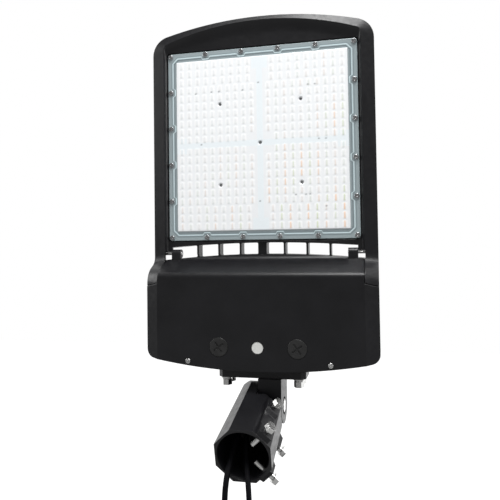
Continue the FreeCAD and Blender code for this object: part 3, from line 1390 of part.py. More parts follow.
def build_head():
    write("main_housing", main_housing(), place_head)
    write("lens_plate", lens_plate(), place_head)
    write("lens_gasket", lens_gasket(), place_head)
    write("lens_screws", lens_screws(), place_head)
    write("lens_centre_screws", centre_screws(), place_head)
    for name, side_u, side_v in (("upper_left", -1, 1), ("upper_right", 1, 1), ("lower_left", -1, -1),
                                 ("lower_right", 1, -1)):
        write("led_board_" + name, led_board(side_u, side_v), place_head)
    write("led_chips", led_chips(), place_head)
    write("led_lead", led_lead(), place_head)
    write("led_connector", led_connector(), place_head)
    write("led_driver", led_driver(), place_head)
    write("driver_screws", driver_screws(), place_head)
    write("surge_protector", floor_block(SURGE_SIZE, SURGE_CENTRE, SURGE_EDGE), place_head)
    write("terminal_block", terminal_block(), place_head)
    write("ground_screw", ground_screw(), place_head)
    write("breather_vent", breather_vent(), place_head)
    write("entry_grommet", entry_grommet(), place_head)
    write("hinge_pins", both_sides(hinge_pin(0)), place_head)
    write("cover_gasket", cover_gasket(), place_head)


def build_cover():
    write("driver_cover", driver_cover(), place_head)
    write("cover_screws", cover_screws(), place_head)
    write("sensor_window", sensor_window(), place_head)
    write("control_board", control_board(), place_head)
    write("control_screws", control_screws(), place_head)
    write("light_sensor", light_sensor(), place_head)
    for name, u in (("power", -PLUG_U), ("colour", PLUG_U)):
        write(name + "_switch", switch_body(u), place_head)
        write(name + "_slider", slider(u), place_head)
        write(name + "_plug", plug_cap(u), place_head)
        write(name + "_plug_seal", plug_seal(u), place_head)


def build_bracket():
    write("bracket_gasket", bracket_gasket(), place_head)
    write("mounting_bracket", mounting_bracket(), place_head)
    write("bracket_washers", bracket_washers(), place_head)
    write("bracket_lock_washers", lock_washers(), place_head)
    write("bracket_bolts", bracket_bolts(), place_head)


def build_fitter():
    write("slip_fitter_body", slip_fitter_body(), place_fitter)
    write("set_bolts", set_bolts(), place_fitter)
    write("cord_grommet", cord_grommet(), place_fitter)
    write("pivot_bolt", pivot_bolt(), place_fitter)
    write("pivot_nut", pivot_nut(), place_fitter)
    write("pivot_washers", pivot_washers(), place_fitter)


def build_cords():
    ties = []
    for name, route, diameter, side, wires in (("mains", MAINS_ROUTE, MAINS_DIAMETER, -1, 3),
                                               ("dimming", DIMMING_ROUTE, DIMMING_DIAMETER, 1, 2)):
        start = route[-1]
        write(name + "_cord", free_cord(route, diameter), in_place)
        write(name + "_coil", coil(start, diameter, side), in_place)
        write(name + "_conductors", conductors(start, diameter, wires), in_place)
        ties.append(coil_tie(start, diameter, side))
    write("cord_ties", ties, in_place)


os.makedirs("parts", exist_ok=True)
build_head()
build_cover()
build_bracket()
build_fitter()
build_cords()
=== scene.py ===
import math

import bpy
import numpy as np
from mathutils import Matrix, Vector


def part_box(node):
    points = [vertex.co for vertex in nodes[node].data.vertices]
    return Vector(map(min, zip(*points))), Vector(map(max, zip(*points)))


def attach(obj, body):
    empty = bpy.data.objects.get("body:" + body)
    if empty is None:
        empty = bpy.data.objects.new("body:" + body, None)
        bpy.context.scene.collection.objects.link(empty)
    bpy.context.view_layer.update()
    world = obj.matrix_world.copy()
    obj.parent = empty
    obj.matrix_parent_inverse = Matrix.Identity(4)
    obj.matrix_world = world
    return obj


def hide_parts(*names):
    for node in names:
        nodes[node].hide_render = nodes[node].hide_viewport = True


# Shoebox area light on its slip fitter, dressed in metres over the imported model.
# The head is described in its own millimetres: u to the right, v up the panel and
# n out of the lit face, from the centre of the lens.
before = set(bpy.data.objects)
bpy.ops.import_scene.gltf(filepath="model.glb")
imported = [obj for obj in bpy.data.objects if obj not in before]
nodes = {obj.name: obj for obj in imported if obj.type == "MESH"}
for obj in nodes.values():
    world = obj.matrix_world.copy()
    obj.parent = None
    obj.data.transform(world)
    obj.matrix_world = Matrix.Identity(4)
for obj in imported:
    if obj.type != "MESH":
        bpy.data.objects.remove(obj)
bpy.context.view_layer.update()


# ---- the photographer's place ---------------------------------------------------
# A camera a little to the right of the light and below its middle, turned left and
# up at it. The picture is 500 by 500 and its lens is shifted a twentieth of that.
PICTURE = 500
PRINCIPAL_ROW = 225.0
FOCAL_PIXELS = 566.1
CAMERA_PLACE = (0.1642, -0.6581, 0.2520)
CAMERA_RIGHT = (0.97439, 0.22445, -0.01369)
CAMERA_UP = (0.02071, -0.02890, 0.99937)
CAMERA_BACK = (0.22391, -0.97406, -0.03281)

camera_data = bpy.data.cameras.new("camera")
camera_data.sensor_width = 36.0
camera_data.lens = FOCAL_PIXELS * camera_data.sensor_width / PICTURE
camera_data.shift_y = (PRINCIPAL_ROW - PICTURE / 2) / PICTURE
camera = bpy.data.objects.new("camera", camera_data)
turn = Matrix((CAMERA_RIGHT, CAMERA_UP, CAMERA_BACK)).transposed().to_4x4()
camera.matrix_world = Matrix.Translation(CAMERA_PLACE) @ turn
bpy.context.scene.collection.objects.link(camera)
bpy.context.scene.camera = camera
bpy.context.scene.view_settings.view_transform = "Standard"


# ---- mains and dimming cords ----------------------------------------------------
# Two round black rubber-jacketed cords that leave the grommet inside the slip fitter,
# hang out of its mouth and end in stripped wires. What the photograph doesn't show
# is wound into three turns each, with a strap round them.
GROMMET_TO_MAINS_COIL = (
    (-16.3, 75.34, 20.19), (-16.3, 57.95, 15.53), (-17.0, 41.0, 8.2), (-17.8, 24.5, -1.2), (-18.3, 9.5, -11.0),
    (-18.7, -3.6, -22.6), (-18.9, -11.6, -38.0), (-18.6, -15.2, -55.5), (-18.2, -15.7, -74.0),
    (-18.2, -15.7, -94.0))
GROMMET_TO_DIMMING_COIL = (
    (-7.7, 75.34, 20.19), (-7.7, 58.43, 15.66), (-5.2, 41.6, 6.2), (-1.6, 25.0, -5.6), (2.9, 9.7, -17.0),
    (7.2, -3.6, -29.0), (10.0, -11.5, -44.2), (11.0, -15.0, -61.5), (10.8, -15.3, -79.5), (10.8, -15.3, -98.0))
COIL_TURNS = 3
COIL_STEPS = 16
COIL_MIDDLE = 5.5
COIL_SPACE = 0.8


def coil_points(start, diameter, side):
    """Points of a spiral that runs in, steps back one layer in half a turn, and runs out.

    The radius falls and rises by one pitch a turn. Control points of a smooth spline lie
    outside it, so the radius is divided by the cosine of half a step."""
    pitch = diameter + COIL_SPACE
    outer = COIL_MIDDLE * diameter + pitch * (COIL_TURNS - 0.5) / 4
    centre = np.array(start) + (side * outer, 0, -diameter)
    turns = np.arange(1, COIL_TURNS * COIL_STEPS + 1) / COIL_STEPS
    radius = (outer - pitch * np.minimum(turns, COIL_TURNS - turns)) / math.cos(math.pi / COIL_STEPS)
    layer = np.clip((turns - COIL_TURNS / 2 + 0.25) / 0.5, 0, 1)
    angle = 2 * math.pi * turns
    ring = np.stack([-side * radius * np.cos(angle), pitch * layer, -radius * np.sin(angle)], axis=1)
    end = centre + (-side * outer, pitch, -diameter)
    return np.vstack([centre + (-side * outer, 0, 0), centre + ring[:-1], centre + (-side * outer, pitch, 0), end])


def new_finish(name, colour, roughness, metallic=0.0, specular=0.5):
    """A material whose plain values sit on its Principled shader's own sockets."""
    made = bpy.data.materials.new(name)
    made.use_nodes = True
    shader = made.node_tree.nodes["Principled BSDF"]
    shader.inputs["Base Color"].default_value = (*colour, 1)
    shader.inputs["Roughness"].default_value = roughness
    shader.inputs["Metallic"].default_value = metallic
    shader.inputs["Specular IOR Level"].default_value = specular
    return made


def add_node(made, kind, **sockets):
    """A node of that kind with its sockets set by name (underscores for spaces)."""
    node = made.node_tree.nodes.new("ShaderNode" + kind)
    for name, value in sockets.items():
        node.inputs[name.replace("_", " ")].default_value = value
    return node


def grain(made, per_metre, detail=2.0, stretch=(1, 1, 1)):
    """Noise with that many grains to the metre on Object coordinates, from 0 to 1."""
    place = add_node(made, "TexCoord")
    scaled = add_node(made, "Mapping", Scale=stretch)
    noise = add_node(made, "TexNoise", Scale=per_metre, Detail=detail)
    made.node_tree.links.new(place.outputs["Object"], scaled.inputs["Vector"])
    made.node_tree.links.new(scaled.outputs["Vector"], noise.inputs["Vector"])
    return noise.outputs[0]


def between(made, fac, low, high):
    """Map Range that takes the middle of the noise, 0.3 to 0.7, to low and high."""
    node = add_node(made, "MapRange", From_Min=0.3, From_Max=0.7, To_Min=low, To_Max=high)
    made.node_tree.links.new(fac, node.inputs["Value"])
    return node.outputs["Result"]


def shader_of(made):
    return made.node_tree.nodes["Principled BSDF"]


def vary_colour(made, fac, dark, light):
    """Base colour that runs from dark to light with the noise."""
    mix = made.node_tree.nodes.new("ShaderNodeMix")
    mix.data_type = "RGBA"
    colours = [s for s in mix.inputs if s.type == "RGBA"]
    colours[0].default_value = (*dark, 1)
    colours[1].default_value = (*light, 1)
    made.node_tree.links.new(between(made, fac, 0, 1), mix.inputs[0])
    result = [s for s in mix.outputs if s.type == "RGBA"][0]
    made.node_tree.links.new(result, shader_of(made).inputs["Base Color"])


def vary_roughness(made, fac, low, high):
    made.node_tree.links.new(between(made, fac, low, high), shader_of(made).inputs["Roughness"])


def add_relief(made, fac, height, rounded=0.0):
    """Bump of that height in metres, over corners rounded to that radius in metres."""
    bump = add_node(made, "Bump", Strength=1.0, Distance=height)
    made.node_tree.links.new(fac, bump.inputs["Height"])
    if rounded:
        corner = add_node(made, "Bevel", Radius=rounded)
        corner.samples = 6
        made.node_tree.links.new(corner.outputs["Normal"], bump.inputs["Normal"])
    made.node_tree.links.new(bump.outputs["Normal"], shader_of(made).inputs["Normal"])


def dress(node, made):
    """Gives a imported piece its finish."""
    nodes[node].data.materials.clear()
    nodes[node].data.materials.append(made)


jacket = new_finish("cord_jacket", (0.004, 0.004, 0.005), 0.5, specular=0.04)
vary_colour(jacket, grain(jacket, 60), (0.003, 0.003, 0.004), (0.005, 0.005, 0.006))
vary_roughness(jacket, grain(jacket, 300), 0.42, 0.58)
add_relief(jacket, grain(jacket, 1400), 0.00003)


def hang_cord(name, route, diameter, side):
    """One spline through the route and the coil, a round bead of the cord's diameter."""
    points = np.vstack([route, coil_points(route[-1], diameter, side)]) / 1000
    drawn = bpy.data.curves.new(name, "CURVE")
    drawn.dimensions = "3D"
    drawn.bevel_depth = diameter / 2000
    drawn.bevel_resolution = 5
    drawn.resolution_u = 6
    drawn.use_fill_caps = True
    spline = drawn.splines.new("NURBS")
    spline.points.add(len(points) - 1)
    spline.points.foreach_set("co", np.column_stack([points, np.ones(len(points))]).ravel())
    spline.order_u = 3
    spline.use_endpoint_u = True
    drawn.materials.append(jacket)
    cord = bpy.data.objects.new(name, drawn)
    bpy.context.scene.collection.objects.link(cord)
    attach(cord, "slip_fitter")
    return cord


mains_flex = hang_cord("mains_flex", GROMMET_TO_MAINS_COIL, 7.0, -1)
dimming_flex = hang_cord("dimming_flex", GROMMET_TO_DIMMING_COIL, 6.5, 1)
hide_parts("mains_cord", "mains_coil")
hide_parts("dimming_cord", "dimming_coil")

insulation = new_finish("wire_insulation", (0.05, 0.05, 0.05), 0.4)
vary_colour(insulation, grain(insulation, 90), (0.04, 0.04, 0.045), (0.07, 0.07, 0.075))
add_relief(insulation, grain(insulation, 2500), 0.00002)
dress("mains_conductors", insulation)
dress("dimming_conductors", insulation)
strap = new_finish("nylon_strap", (0.02, 0.02, 0.02), 0.55)
vary_colour(strap, grain(strap, 800), (0.015, 0.015, 0.015), (0.03, 0.03, 0.032))
add_relief(strap, grain(strap, 3000), 0.00004, 0.0004)
dress("cord_ties", strap)


# ---- studio ---------------------------------------------------------------------
# A white room: soft boxes left and right, one above, a pale floor well under the
# light, and a world that shows white to the camera, to glass and behind the metal.
FLOOR_LEVEL = -0.62
FLOOR_HALF = 4.0
FLOOR_SHOWN = 0.85            # how bright the floor shows to the camera
FLOOR_FADE = (0.3, 0.8)       # where, going back, the floor turns white in the metal
MIRRORED_FADE = (0.0, 0.35)   # the same for the world, by direction
MIRRORED_WORLD = (0.22, 1.0)  # world in the metal, in front and behind
SCATTERED_WORLD = 0.8         # world on matt surfaces
SOFT_BOXES = (
    ("left_box", (-1.6, -0.2, 0.9), (0.0, 0.1, 0.25), 1.0, 13),
    ("right_box", (1.5, 0.1, 0.9), (0.0, 0.1, 0.25), 1.0, 16),
    ("top_box", (0.3, -0.5, 2.0), (0.0, 0.1, 0.4), 0.9, 36),
)


def light_at(name, place, target, size, watts):
    """Square area light that faces the target."""
    lamp = bpy.data.lights.new(name, "AREA")
    lamp.size = size
    lamp.energy = watts
    holder = bpy.data.objects.new(name, lamp)
    towards = Matrix.Translation(target).translation - Matrix.Translation(place).translation
    holder.matrix_world = Matrix.Translation(place) @ towards.to_track_quat("-Z", "Y").to_matrix().to_4x4()
    bpy.context.scene.collection.objects.link(holder)


for box_values in SOFT_BOXES:
    light_at(*box_values)

world = bpy.data.worlds.new("studio")
bpy.context.scene.world = world
world.use_nodes = True
sky = world.node_tree
path = sky.nodes.new("ShaderNodeLightPath")
direction = sky.nodes.new("ShaderNodeTexCoord")
axes = sky.nodes.new("ShaderNodeSeparateXYZ")
behind = sky.nodes.new("ShaderNodeMapRange")
behind.inputs["From Min"].default_value, behind.inputs["From Max"].default_value = MIRRORED_FADE
behind.inputs["To Min"].default_value, behind.inputs["To Max"].default_value = MIRRORED_WORLD
sky.links.new(direction.outputs["Generated"], axes.inputs["Vector"])
sky.links.new(axes.outputs["Y"], behind.inputs["Value"])


def sky_math(kind, first, second):
    """Math node of that kind on two sockets or plain numbers."""
    node = sky.nodes.new("ShaderNodeMath")
    node.operation = kind
    for slot, value in enumerate((first, second)):
        if isinstance(value, float):
            node.inputs[slot].default_value = value
        else:
            sky.links.new(value, node.inputs[slot])
    return node.outputs[0]


seen = sky_math("MAXIMUM", path.outputs["Is Camera Ray"], path.outputs["Is Transmission Ray"])
mirrored_sky = sky_math("MULTIPLY", path.outputs["Is Glossy Ray"], behind.outputs["Result"])
scattered_sky = sky_math("MULTIPLY", path.outputs["Is Diffuse Ray"], SCATTERED_WORLD)
brightness = sky_math("MAXIMUM", sky_math("MAXIMUM", seen, mirrored_sky), scattered_sky)
sky.links.new(brightness, sky.nodes["Background"].inputs["Strength"])
sky.nodes["Background"].inputs["Color"].default_value = (1, 1, 1, 1)

floor_mesh = bpy.data.meshes.new("floor")
floor_mesh.from_pydata([(-FLOOR_HALF, -FLOOR_HALF, FLOOR_LEVEL), (FLOOR_HALF, -FLOOR_HALF, FLOOR_LEVEL),
                        (FLOOR_HALF, FLOOR_HALF, FLOOR_LEVEL), (-FLOOR_HALF, FLOOR_HALF, FLOOR_LEVEL)],
                       [], [(0, 1, 2, 3)])
floor = bpy.data.objects.new("floor", floor_mesh)
bpy.context.scene.collection.objects.link(floor)
pale = new_finish("pale_floor", (0.3, 0.3, 0.3), 0.8, specular=0.1)
floor_path = add_node(pale, "LightPath")
floor_place = add_node(pale, "TexCoord")
floor_axes = add_node(pale, "SeparateXYZ")
far_floor = add_node(pale, "MapRange", From_Min=FLOOR_FADE[0], From_Max=FLOOR_FADE[1], To_Min=0.0, To_Max=1.0)
mirrored_floor = add_node(pale, "Math")
mirrored_floor.operation = "MULTIPLY"
shown = add_node(pale, "Math")
shown.operation = "MULTIPLY_ADD"
shown.inputs[1].default_value = FLOOR_SHOWN
pale.node_tree.links.new(floor_place.outputs["Object"], floor_axes.inputs["Vector"])
pale.node_tree.links.new(floor_axes.outputs["Y"], far_floor.inputs["Value"])
pale.node_tree.links.new(far_floor.outputs["Result"], mirrored_floor.inputs[0])
pale.node_tree.links.new(floor_path.outputs["Is Glossy Ray"], mirrored_floor.inputs[1])
pale.node_tree.links.new(floor_path.outputs["Is Camera Ray"], shown.inputs[0])
pale.node_tree.links.new(mirrored_floor.outputs[0], shown.inputs[2])
shader_of(pale).inputs["Emission Color"].default_value = (1, 1, 1, 1)
pale.node_tree.links.new(shown.outputs[0], shader_of(pale).inputs["Emission Strength"])
floor_mesh.materials.append(pale)


# ---- slip fitter ----------------------------------------------------------------
# Die-cast tube with a black powder coat. The coat is a fine even grain with soft
# edges, and it is a little lighter where it is thin.
powder = new_finish("black_powder_coat", (0.006, 0.006, 0.007), 0.36, specular=0.42)
vary_colour(powder, grain(powder, 25, 3.0), (0.005, 0.005, 0.006), (0.008, 0.008, 0.0095))
vary_roughness(powder, grain(powder, 180, 2.0), 0.3, 0.4)
add_relief(powder, grain(powder, 1900, 2.0), 0.00005, 0.0010)
dress("slip_fitter_body", powder)

steel = new_finish("bright_steel", (0.72, 0.72, 0.71), 0.2, metallic=1.0)
vary_roughness(steel, grain(steel, 500, 2.0), 0.12, 0.28)
add_relief(steel, grain(steel, 1500), 0.00002, 0.0005)
for part in ("set_bolts", "pivot_bolt", "pivot_nut", "pivot_washers"):
    dress(part, steel)

rubber = new_finish("black_rubber", (0.015, 0.015, 0.015), 0.7, specular=0.3)
vary_colour(rubber, grain(rubber, 200), (0.012, 0.012, 0.012), (0.022, 0.022, 0.022))
add_relief(rubber, grain(rubber, 2200), 0.00004, 0.0004)
dress("cord_grommet", rubber)


# ---- bracket --------------------------------------------------------------------
# Cast plate and hollow arm with the same coat, held under the case by four bright
# bolts on plain and split washers, over a flat rubber gasket.
dress("mounting_bracket", powder)
dress("bracket_gasket", rubber)
for part in ("bracket_washers", "bracket_lock_washers", "bracket_bolts"):
    dress(part, steel)


# ---- housing --------------------------------------------------------------------
# One aluminium casting with fins at the back, arms beside the case and a rim round
# the lens, in the same black coat.
dress("main_housing", powder)
dress("entry_grommet", rubber)
dress("cover_gasket", rubber)
dress("hinge_pins", steel)


# ---- driver and what lies in the case --------------------------------------------
# Potted driver in a pale case, surge protector, terminal block, ground screw and a
# breather vent, screwed to the case's floor.
can = new_finish("painted_steel_can", (0.6, 0.6, 0.6), 0.4)
vary_colour(can, grain(can, 40), (0.55, 0.55, 0.56), (0.66, 0.66, 0.66))
add_relief(can, grain(can, 900), 0.00003, 0.0008)
dress("led_driver", can)
grey_plastic = new_finish("grey_plastic", (0.16, 0.16, 0.17), 0.45)
vary_colour(grey_plastic, grain(grey_plastic, 60), (0.14, 0.14, 0.15), (0.2, 0.2, 0.21))
add_relief(grey_plastic, grain(grey_plastic, 1600), 0.00003, 0.0006)
dress("surge_protector", grey_plastic)
white_plastic = new_finish("white_nylon", (0.75, 0.74, 0.7), 0.4)
vary_colour(white_plastic, grain(white_plastic, 80), (0.7, 0.69, 0.65), (0.78, 0.77, 0.74))
add_relief(white_plastic, grain(white_plastic, 1200), 0.00003, 0.0004)
dress("terminal_block", white_plastic)
dress("led_connector", white_plastic)
dress("breather_vent", rubber)
dress("ground_screw", steel)
dress("driver_screws", steel)
dress("led_lead", jacket)


# ---- LED boards -----------------------------------------------------------------
# Four aluminium boards with white solder mask and yellow phosphor packages. A few
# small black resistors are soldered between the rows of LEDs, seen as dark specks.
mask = new_finish("white_solder_mask", (0.9, 0.92, 0.93), 0.35)
vary_colour(mask, grain(mask, 30), (0.89, 0.91, 0.92), (0.93, 0.95, 0.96))
add_relief(mask, grain(mask, 1500), 0.00001)
for corner in ("upper_left", "upper_right", "lower_left", "lower_right"):
    dress("led_board_" + corner, mask)
RESISTOR_PLACES = ((-93.0, 74.4), (-69.9, 75.6), (-58.7, 75.6), (-24.5, 75.3), (67.6, 76.6), (77.3, 76.6),
                   (49.0, -74.2), (62.9, -74.2), (68.5, -74.2), (90.4, -90.8), (-1.7, 84.4), (-85.4, 1.2),
                   (81.6, 1.2), (91.2, 1.2), (-1.2, -81.6))
phosphor = new_finish("led_phosphor", (0.85, 0.62, 0.15), 0.35)
vary_colour(phosphor, grain(phosphor, 400), (0.8, 0.55, 0.12), (0.9, 0.7, 0.22))
add_relief(phosphor, grain(phosphor, 3000), 0.00002)
dress("led_chips", phosphor)
dress("lens_gasket", rubber)

RESISTOR_HALF = np.array((1.1, 0.55, 0.35))
RESISTOR_SUNK = 0.05
board_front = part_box("led_board_upper_left")[0][1] * 1000
lens_low, lens_high = (np.array(corner) * 1000 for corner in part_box("lens_plate"))
LENS_HALF = (lens_high[0] - lens_low[0]) / 2
LENS_MIDDLE = (lens_low + lens_high) / 2


def soldered_blocks(name, places):
    """One closed block a place: its corners are the centre plus or minus the half sizes."""
    signs = np.array([(a, b, c) for a in (-1, 1) for b in (-1, 1) for c in (-1, 1)])
    u, v = np.array(places).T
    y = np.full(len(places), board_front - RESISTOR_HALF[2] + RESISTOR_SUNK)
    centres = np.stack([LENS_MIDDLE[0] + u, y, LENS_MIDDLE[2] + v], axis=-1)
    corners = centres[:, None] + signs * RESISTOR_HALF[[0, 2, 1]]
    faces = np.array([(0, 1, 3, 2), (4, 6, 7, 5), (0, 4, 5, 1), (2, 3, 7, 6), (0, 2, 6, 4), (1, 5, 7, 3)])
    quads = (faces + 8 * np.arange(len(places))[:, None, None]).reshape(-1, 4)
    mesh = bpy.data.meshes.new(name)
    mesh.from_pydata((corners.reshape(-1, 3) / 1000).tolist(), [], quads.tolist())
    piece = bpy.data.objects.new(name, mesh)
    bpy.context.scene.collection.objects.link(piece)
    return piece


resistors = soldered_blocks("resistors", RESISTOR_PLACES)
chip_black = new_finish("resistor_black", (0.01, 0.01, 0.011), 0.4)
vary_colour(chip_black, grain(chip_black, 900), (0.008, 0.008, 0.008), (0.016, 0.016, 0.017))
add_relief(chip_black, grain(chip_black, 4000), 0.00001)
resistors.data.materials.append(chip_black)
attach(resistors, "head")


# ---- lens -----------------------------------------------------------------------
# One moulded clear plate over the boards: a raised field with a long low optic over
# each LED, and a lower border whose fine rib steps in round each screw.
LENS_CORNER = 4.0
FIELD_HALF = 122.0
BORDER_DROP = 1.2
PLATE_THICK = 4.0
RIB_LINE = 127.6
RIB_STEP = 3.4                # how far the rib steps in round a screw
RIB_REACH = 6.5
SCREW_STEPS = (26.2, 78.6, 130.8)
CENTRE_SCREW = 57.5
SCREW_PIT = 2.9
GRID_LINES = 301
RIB_EASE = 2.5                # length over which the rib steps in
RIB_WIDE = 0.8
RIB_HEIGHT = 0.6
OPTIC_HALF, OPTIC_EASE, OPTIC_WIDE, OPTIC_HEIGHT = 5.4, 2.6, 2.1, 0.4
PIT_EASE = 0.9
PIT_FLOOR = 1.4               # how far a screw's pit goes below the border
FIELD_EASE = 1.2
LED_ROW_FIRST, LED_ROW_PITCH, LED_ROWS, LED_LONG_ROWS = 8.4, 11.9, 10, 7
LED_LONG_ROW = (11.9, 11.4, 10)
LED_SHORT_ROW = (16.9, 12.2, 9)


def in_head(u, v, n):
    """Head millimetres to the frame's metres."""
    return np.stack([LENS_MIDDLE[0] + u, lens_low[1] - n, LENS_MIDDLE[2] + v], axis=-1) / 1000


def smooth_step(value, low, high):
    """0 below low, 1 above high, 3t^2 - 2t^3 between."""
    t = np.clip((value - low) / (high - low), 0, 1)
    return t * t * (3 - 2 * t)


def led_layout():
    """u, v and column number of each LED: ten rows out from the middle on each board."""
    places = []
    for row in range(LED_ROWS):
        first, pitch, count = LED_LONG_ROW if row < LED_LONG_ROWS else LED_SHORT_ROW
        places += [(first + pitch * k, LED_ROW_FIRST + LED_ROW_PITCH * row, k) for k in range(count)]
    left_out = [min(places, key=lambda p: math.hypot(p[0] - s, p[1] - s)) for s in (0, CENTRE_SCREW)]
    board = np.array([p for p in places if p not in left_out])
    return np.vstack([board * (a, b, 1) for a in (-1, 1) for b in (-1, 1)])


def bell(distance, width):
    """1 at no distance, falling as exp(-(distance / width)^2)."""
    return np.exp(-(distance / width) ** 2)


def closed_plate(name, u, v, n, bottom_n):
    """Grid surface with straight sides and a flat back, one closed mesh."""
    rows, columns = n.shape
    top = in_head(u, v, n).reshape(-1, 3)
    index = np.arange(rows * columns).reshape(rows, columns)
    rim = np.concatenate([index[0, :-1], index[:-1, -1], index[-1, :0:-1], index[:0:-1, 0]])
    low = in_head(u.ravel()[rim], v.ravel()[rim], np.full(len(rim), bottom_n))
    back = rows * columns + np.arange(len(rim))
    quads = np.stack([index[:-1, :-1], index[:-1, 1:], index[1:, 1:], index[1:, :-1]], axis=-1).reshape(-1, 4)
    after, back_after = np.roll(rim, -1), np.roll(back, -1)
    sides = np.stack([rim, back, back_after, after], axis=-1)
    mesh = bpy.data.meshes.new(name)
    mesh.from_pydata(np.vstack([top, low]).tolist(), [], quads.tolist() + sides.tolist() + [back[::-1].tolist()])
    mesh.polygons.foreach_set("use_smooth", np.arange(len(mesh.polygons)) < len(quads))
    piece = bpy.data.objects.new(name, mesh)
    bpy.context.scene.collection.objects.link(piece)
    return piece


def rounded_corners(u, v):
    """Bends the square grid's corners onto arcs of LENS_CORNER."""
    start = LENS_HALF - LENS_CORNER
    du, dv = np.maximum(np.abs(u) - start, 0), np.maximum(np.abs(v) - start, 0)
    reach = np.hypot(du, dv)
    share = np.where(reach > 0, np.maximum(du, dv) / np.maximum(reach, 1e-9), 1)
    return (np.sign(u) * (np.minimum(np.abs(u), start) + du * share),
            np.sign(v) * (np.minimum(np.abs(v), start) + dv * share))


steps = np.linspace(-LENS_HALF, LENS_HALF, GRID_LINES)
grid_u, grid_v = np.meshgrid(steps, steps)
outward = np.maximum(np.abs(grid_u), np.abs(grid_v))
sideways = np.minimum(np.abs(grid_u), np.abs(grid_v))
to_screw = np.min([np.abs(sideways - s) for s in SCREW_STEPS], axis=0)
from_rib = outward - RIB_LINE + RIB_STEP * smooth_step(RIB_REACH - to_screw, 0, RIB_EASE)
from_rib = np.maximum(from_rib, (outward + sideways - 2 * RIB_LINE + 2 * RIB_STEP) / math.sqrt(2))
rib = bell(from_rib, RIB_WIDE)
leds = led_layout()
across = steps[:, None] - leds[:, 0]
along = steps[:, None] - leds[:, 1]
optics = smooth_step(OPTIC_HALF - np.abs(along), 0, OPTIC_EASE) @ bell(across, OPTIC_WIDE).T
pits = sum(smooth_step(SCREW_PIT - np.hypot(grid_u - a, grid_v - b), 0, PIT_EASE)
           for a, b in [(0, 0)] + [(s * CENTRE_SCREW, t * CENTRE_SCREW) for s in (-1, 1) for t in (-1, 1)])
in_field = smooth_step(FIELD_HALF + FIELD_EASE / 2 - outward, 0, FIELD_EASE)
height = -BORDER_DROP * (1 - in_field) + OPTIC_HEIGHT * optics + RIB_HEIGHT * rib - (BORDER_DROP + PIT_FLOOR) * pits
lens_skin = closed_plate("lens_moulding", *rounded_corners(grid_u, grid_v), height, -PLATE_THICK)
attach(lens_skin, "head")
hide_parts("lens_plate")


def over(below, colour, cover):
    """Paints colour over below where cover is 1."""
    return below * (1 - cover[..., None]) + np.array(colour) * cover[..., None]


# Colour and cover of the plastic. Over each LED the optic gathers a stripe of the
# phosphor's colour, warm and cool by turns from column to column, clearest at the lower
# right, with a painted highlight in white to both sides of it. The field between is milky,
# the border clear. The last figure of each is how well it covers.
warm = np.array((0.92, 0.46, 0.17))
cool = np.array((0.58, 0.66, 0.36))
grey = np.array((0.62, 0.65, 0.66))
BORDER_PAINT = (0.42, 0.49, 0.51, 0.62)
OUTER_LINE_PAINT = (0.20, 0.25, 0.27, 0.85)
INNER_LINE_PAINT = (0.13, 0.17, 0.19, 0.9)
RIB_PAINT = (0.66, 0.80, 0.83, 0.95)
FIELD_PAINT = (0.97, 0.985, 1.0, 0.8)
CROSS_PAINT = (0.80, 0.85, 0.875, 0.95)
# Painted highlight: white paint for the bands of light beside each optic's stripe.
PAINTED_HIGHLIGHT_PAINT = (1.0, 1.0, 1.0, 0.85)
SKIRT_PAINT = (0.4, 0.5, 0.52, 0.6)
STRIPE_COVER = 0.92
LINE_AWAY = 1.9               # from the rib's middle to the dark line at each side
INNER_LINE_WIDE, OUTER_LINE_WIDE = 0.8, 0.7
STRIPE_HALF, STRIPE_EASE, STRIPE_WIDE = 5.6, 2.0, 1.1
PAINTED_HIGHLIGHT_AWAY, PAINTED_HIGHLIGHT_WIDE = 2.7, 1.0
CROSS_HALF, CROSS_EASE = 5.0, 1.5
PAD_FROM, PAD_TO, PAD_HALF = 103, 106, 11
SPECK_WIDE, SPECK_HIGH, SPECK_CLEAR = 1.3, 0.9, 0.8
column_colour = np.where((leds[:, 2:] % 2 == 0), warm, cool)
strength = np.clip(0.42 + (leds[:, 0] - leds[:, 1]) / 330, 0.12, 1)
wander = 0.5 + 0.5 * np.sin(leds[:, 0] * 1.7 + 2 * np.sin(leds[:, 1] * 0.05))
strength = strength * (0.4 + 0.9 * wander)
led_colour = grey + (column_colour - grey) * np.clip(strength, 0, 1)[:, None]
stripe_along = smooth_step(STRIPE_HALF - np.abs(along), 0, STRIPE_EASE)
stripe_across = bell(across, STRIPE_WIDE)
stripe = np.clip(stripe_along @ stripe_across.T, 0, 1)
# Painted highlight: a white band at each side of every optic's stripe.
painted_highlight = np.clip(stripe_along @ bell(np.abs(across) - PAINTED_HIGHLIGHT_AWAY, PAINTED_HIGHLIGHT_WIDE).T, 0, 1)
stripe_colour = np.stack([(stripe_along * led_colour[:, c]) @ stripe_across.T for c in range(3)], axis=-1)
strength_at = np.clip((stripe_along * strength) @ stripe_across.T, 0, 1)
stripe_colour /= np.maximum(stripe_along @ stripe_across.T, 1e-6)[..., None]
pads = smooth_step(outward, PAD_FROM, PAD_TO) * (sideways < PAD_HALF)
cross = np.maximum(smooth_step(CROSS_HALF - sideways, 0, CROSS_EASE), pads) * in_field
paint = np.zeros(grid_u.shape + (4,)) + BORDER_PAINT
paint = over(paint, INNER_LINE_PAINT, bell(from_rib + LINE_AWAY, INNER_LINE_WIDE))
paint = over(paint, OUTER_LINE_PAINT, bell(from_rib - LINE_AWAY, OUTER_LINE_WIDE))
paint = over(paint, RIB_PAINT, rib)
paint = over(paint, FIELD_PAINT, in_field)
paint = over(paint, CROSS_PAINT, cross)
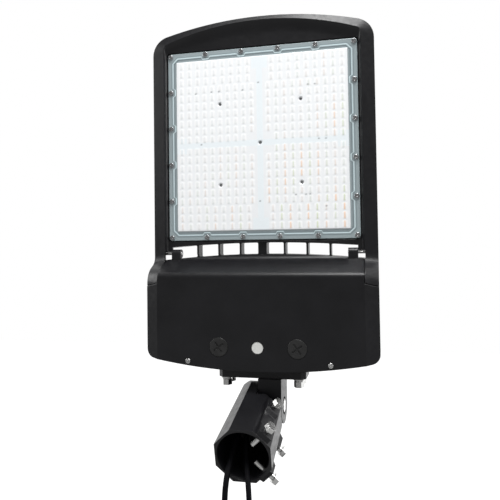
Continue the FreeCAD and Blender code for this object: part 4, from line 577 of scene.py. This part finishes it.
# Paints the highlight bands beside the stripes, inside the field only.
paint = over(paint, PAINTED_HIGHLIGHT_PAINT, painted_highlight * in_field)
specks = sum(bell(grid_u - a, SPECK_WIDE) * bell(grid_v - b, SPECK_HIGH) for a, b in RESISTOR_PLACES)
cover = (stripe * (0.25 + 0.75 * strength_at))[..., None] * 0.75
stripe_paint = np.concatenate([stripe_colour, np.full(stripe.shape + (1,), STRIPE_COVER)], axis=-1)
paint = paint * (1 - cover) + stripe_paint * cover
paint[..., 3] *= 1 - SPECK_CLEAR * np.clip(specks, 0, 1)
layer = lens_skin.data.color_attributes.new("cover", "FLOAT_COLOR", "POINT")
skirt = np.tile(SKIRT_PAINT, (len(lens_skin.data.vertices) - grid_u.size, 1))
layer.data.foreach_set("color", np.vstack([paint.reshape(-1, 4), skirt]).ravel())

clear = new_finish("clear_plastic", (0.7, 0.78, 0.78), 0.12)
cover_colour = add_node(clear, "Attribute")
cover_colour.attribute_name = "cover"
clear.node_tree.links.new(cover_colour.outputs["Color"], shader_of(clear).inputs["Base Color"])
clear.node_tree.links.new(cover_colour.outputs["Alpha"], shader_of(clear).inputs["Alpha"])
vary_roughness(clear, grain(clear, 60), 0.08, 0.2)
add_relief(clear, grain(clear, 900), 0.00001)
lens_skin.data.materials.append(clear)
dark_screw = new_finish("dark_screws", (0.55, 0.56, 0.57), 0.22, metallic=1.0)
vary_roughness(dark_screw, grain(dark_screw, 900), 0.15, 0.3)
add_relief(dark_screw, grain(dark_screw, 1500), 0.00002, 0.0003)
dress("lens_screws", dark_screw)
dress("lens_centre_screws", dark_screw)


# ---- cover ----------------------------------------------------------------------
# Cast cover in the black coat, with two bright screws, a grey sensor window and two
# moulded plugs over the selector switches behind it.
dress("driver_cover", powder)
dress("cover_screws", steel)
frosted = new_finish("frosted_window", (0.62, 0.62, 0.6), 0.35)
vary_colour(frosted, grain(frosted, 300), (0.58, 0.58, 0.56), (0.66, 0.66, 0.64))
add_relief(frosted, grain(frosted, 2000), 0.00002, 0.0004)
dress("sensor_window", frosted)
black_plastic = new_finish("black_plastic", (0.014, 0.014, 0.014), 0.4)
vary_colour(black_plastic, grain(black_plastic, 70), (0.012, 0.012, 0.012), (0.02, 0.02, 0.02))
add_relief(black_plastic, grain(black_plastic, 1300), 0.00003, 0.0005)
green_board = new_finish("green_board", (0.02, 0.16, 0.06), 0.35)
vary_colour(green_board, grain(green_board, 200), (0.015, 0.13, 0.05), (0.03, 0.2, 0.08))
add_relief(green_board, grain(green_board, 1800), 0.00002)
dress("control_board", green_board)
dress("control_screws", steel)
dress("light_sensor", grey_plastic)
for name in ("power", "colour"):
    dress(name + "_plug", black_plastic)
    dress(name + "_plug_seal", rubber)
    dress(name + "_switch", black_plastic)
    dress(name + "_slider", white_plastic)
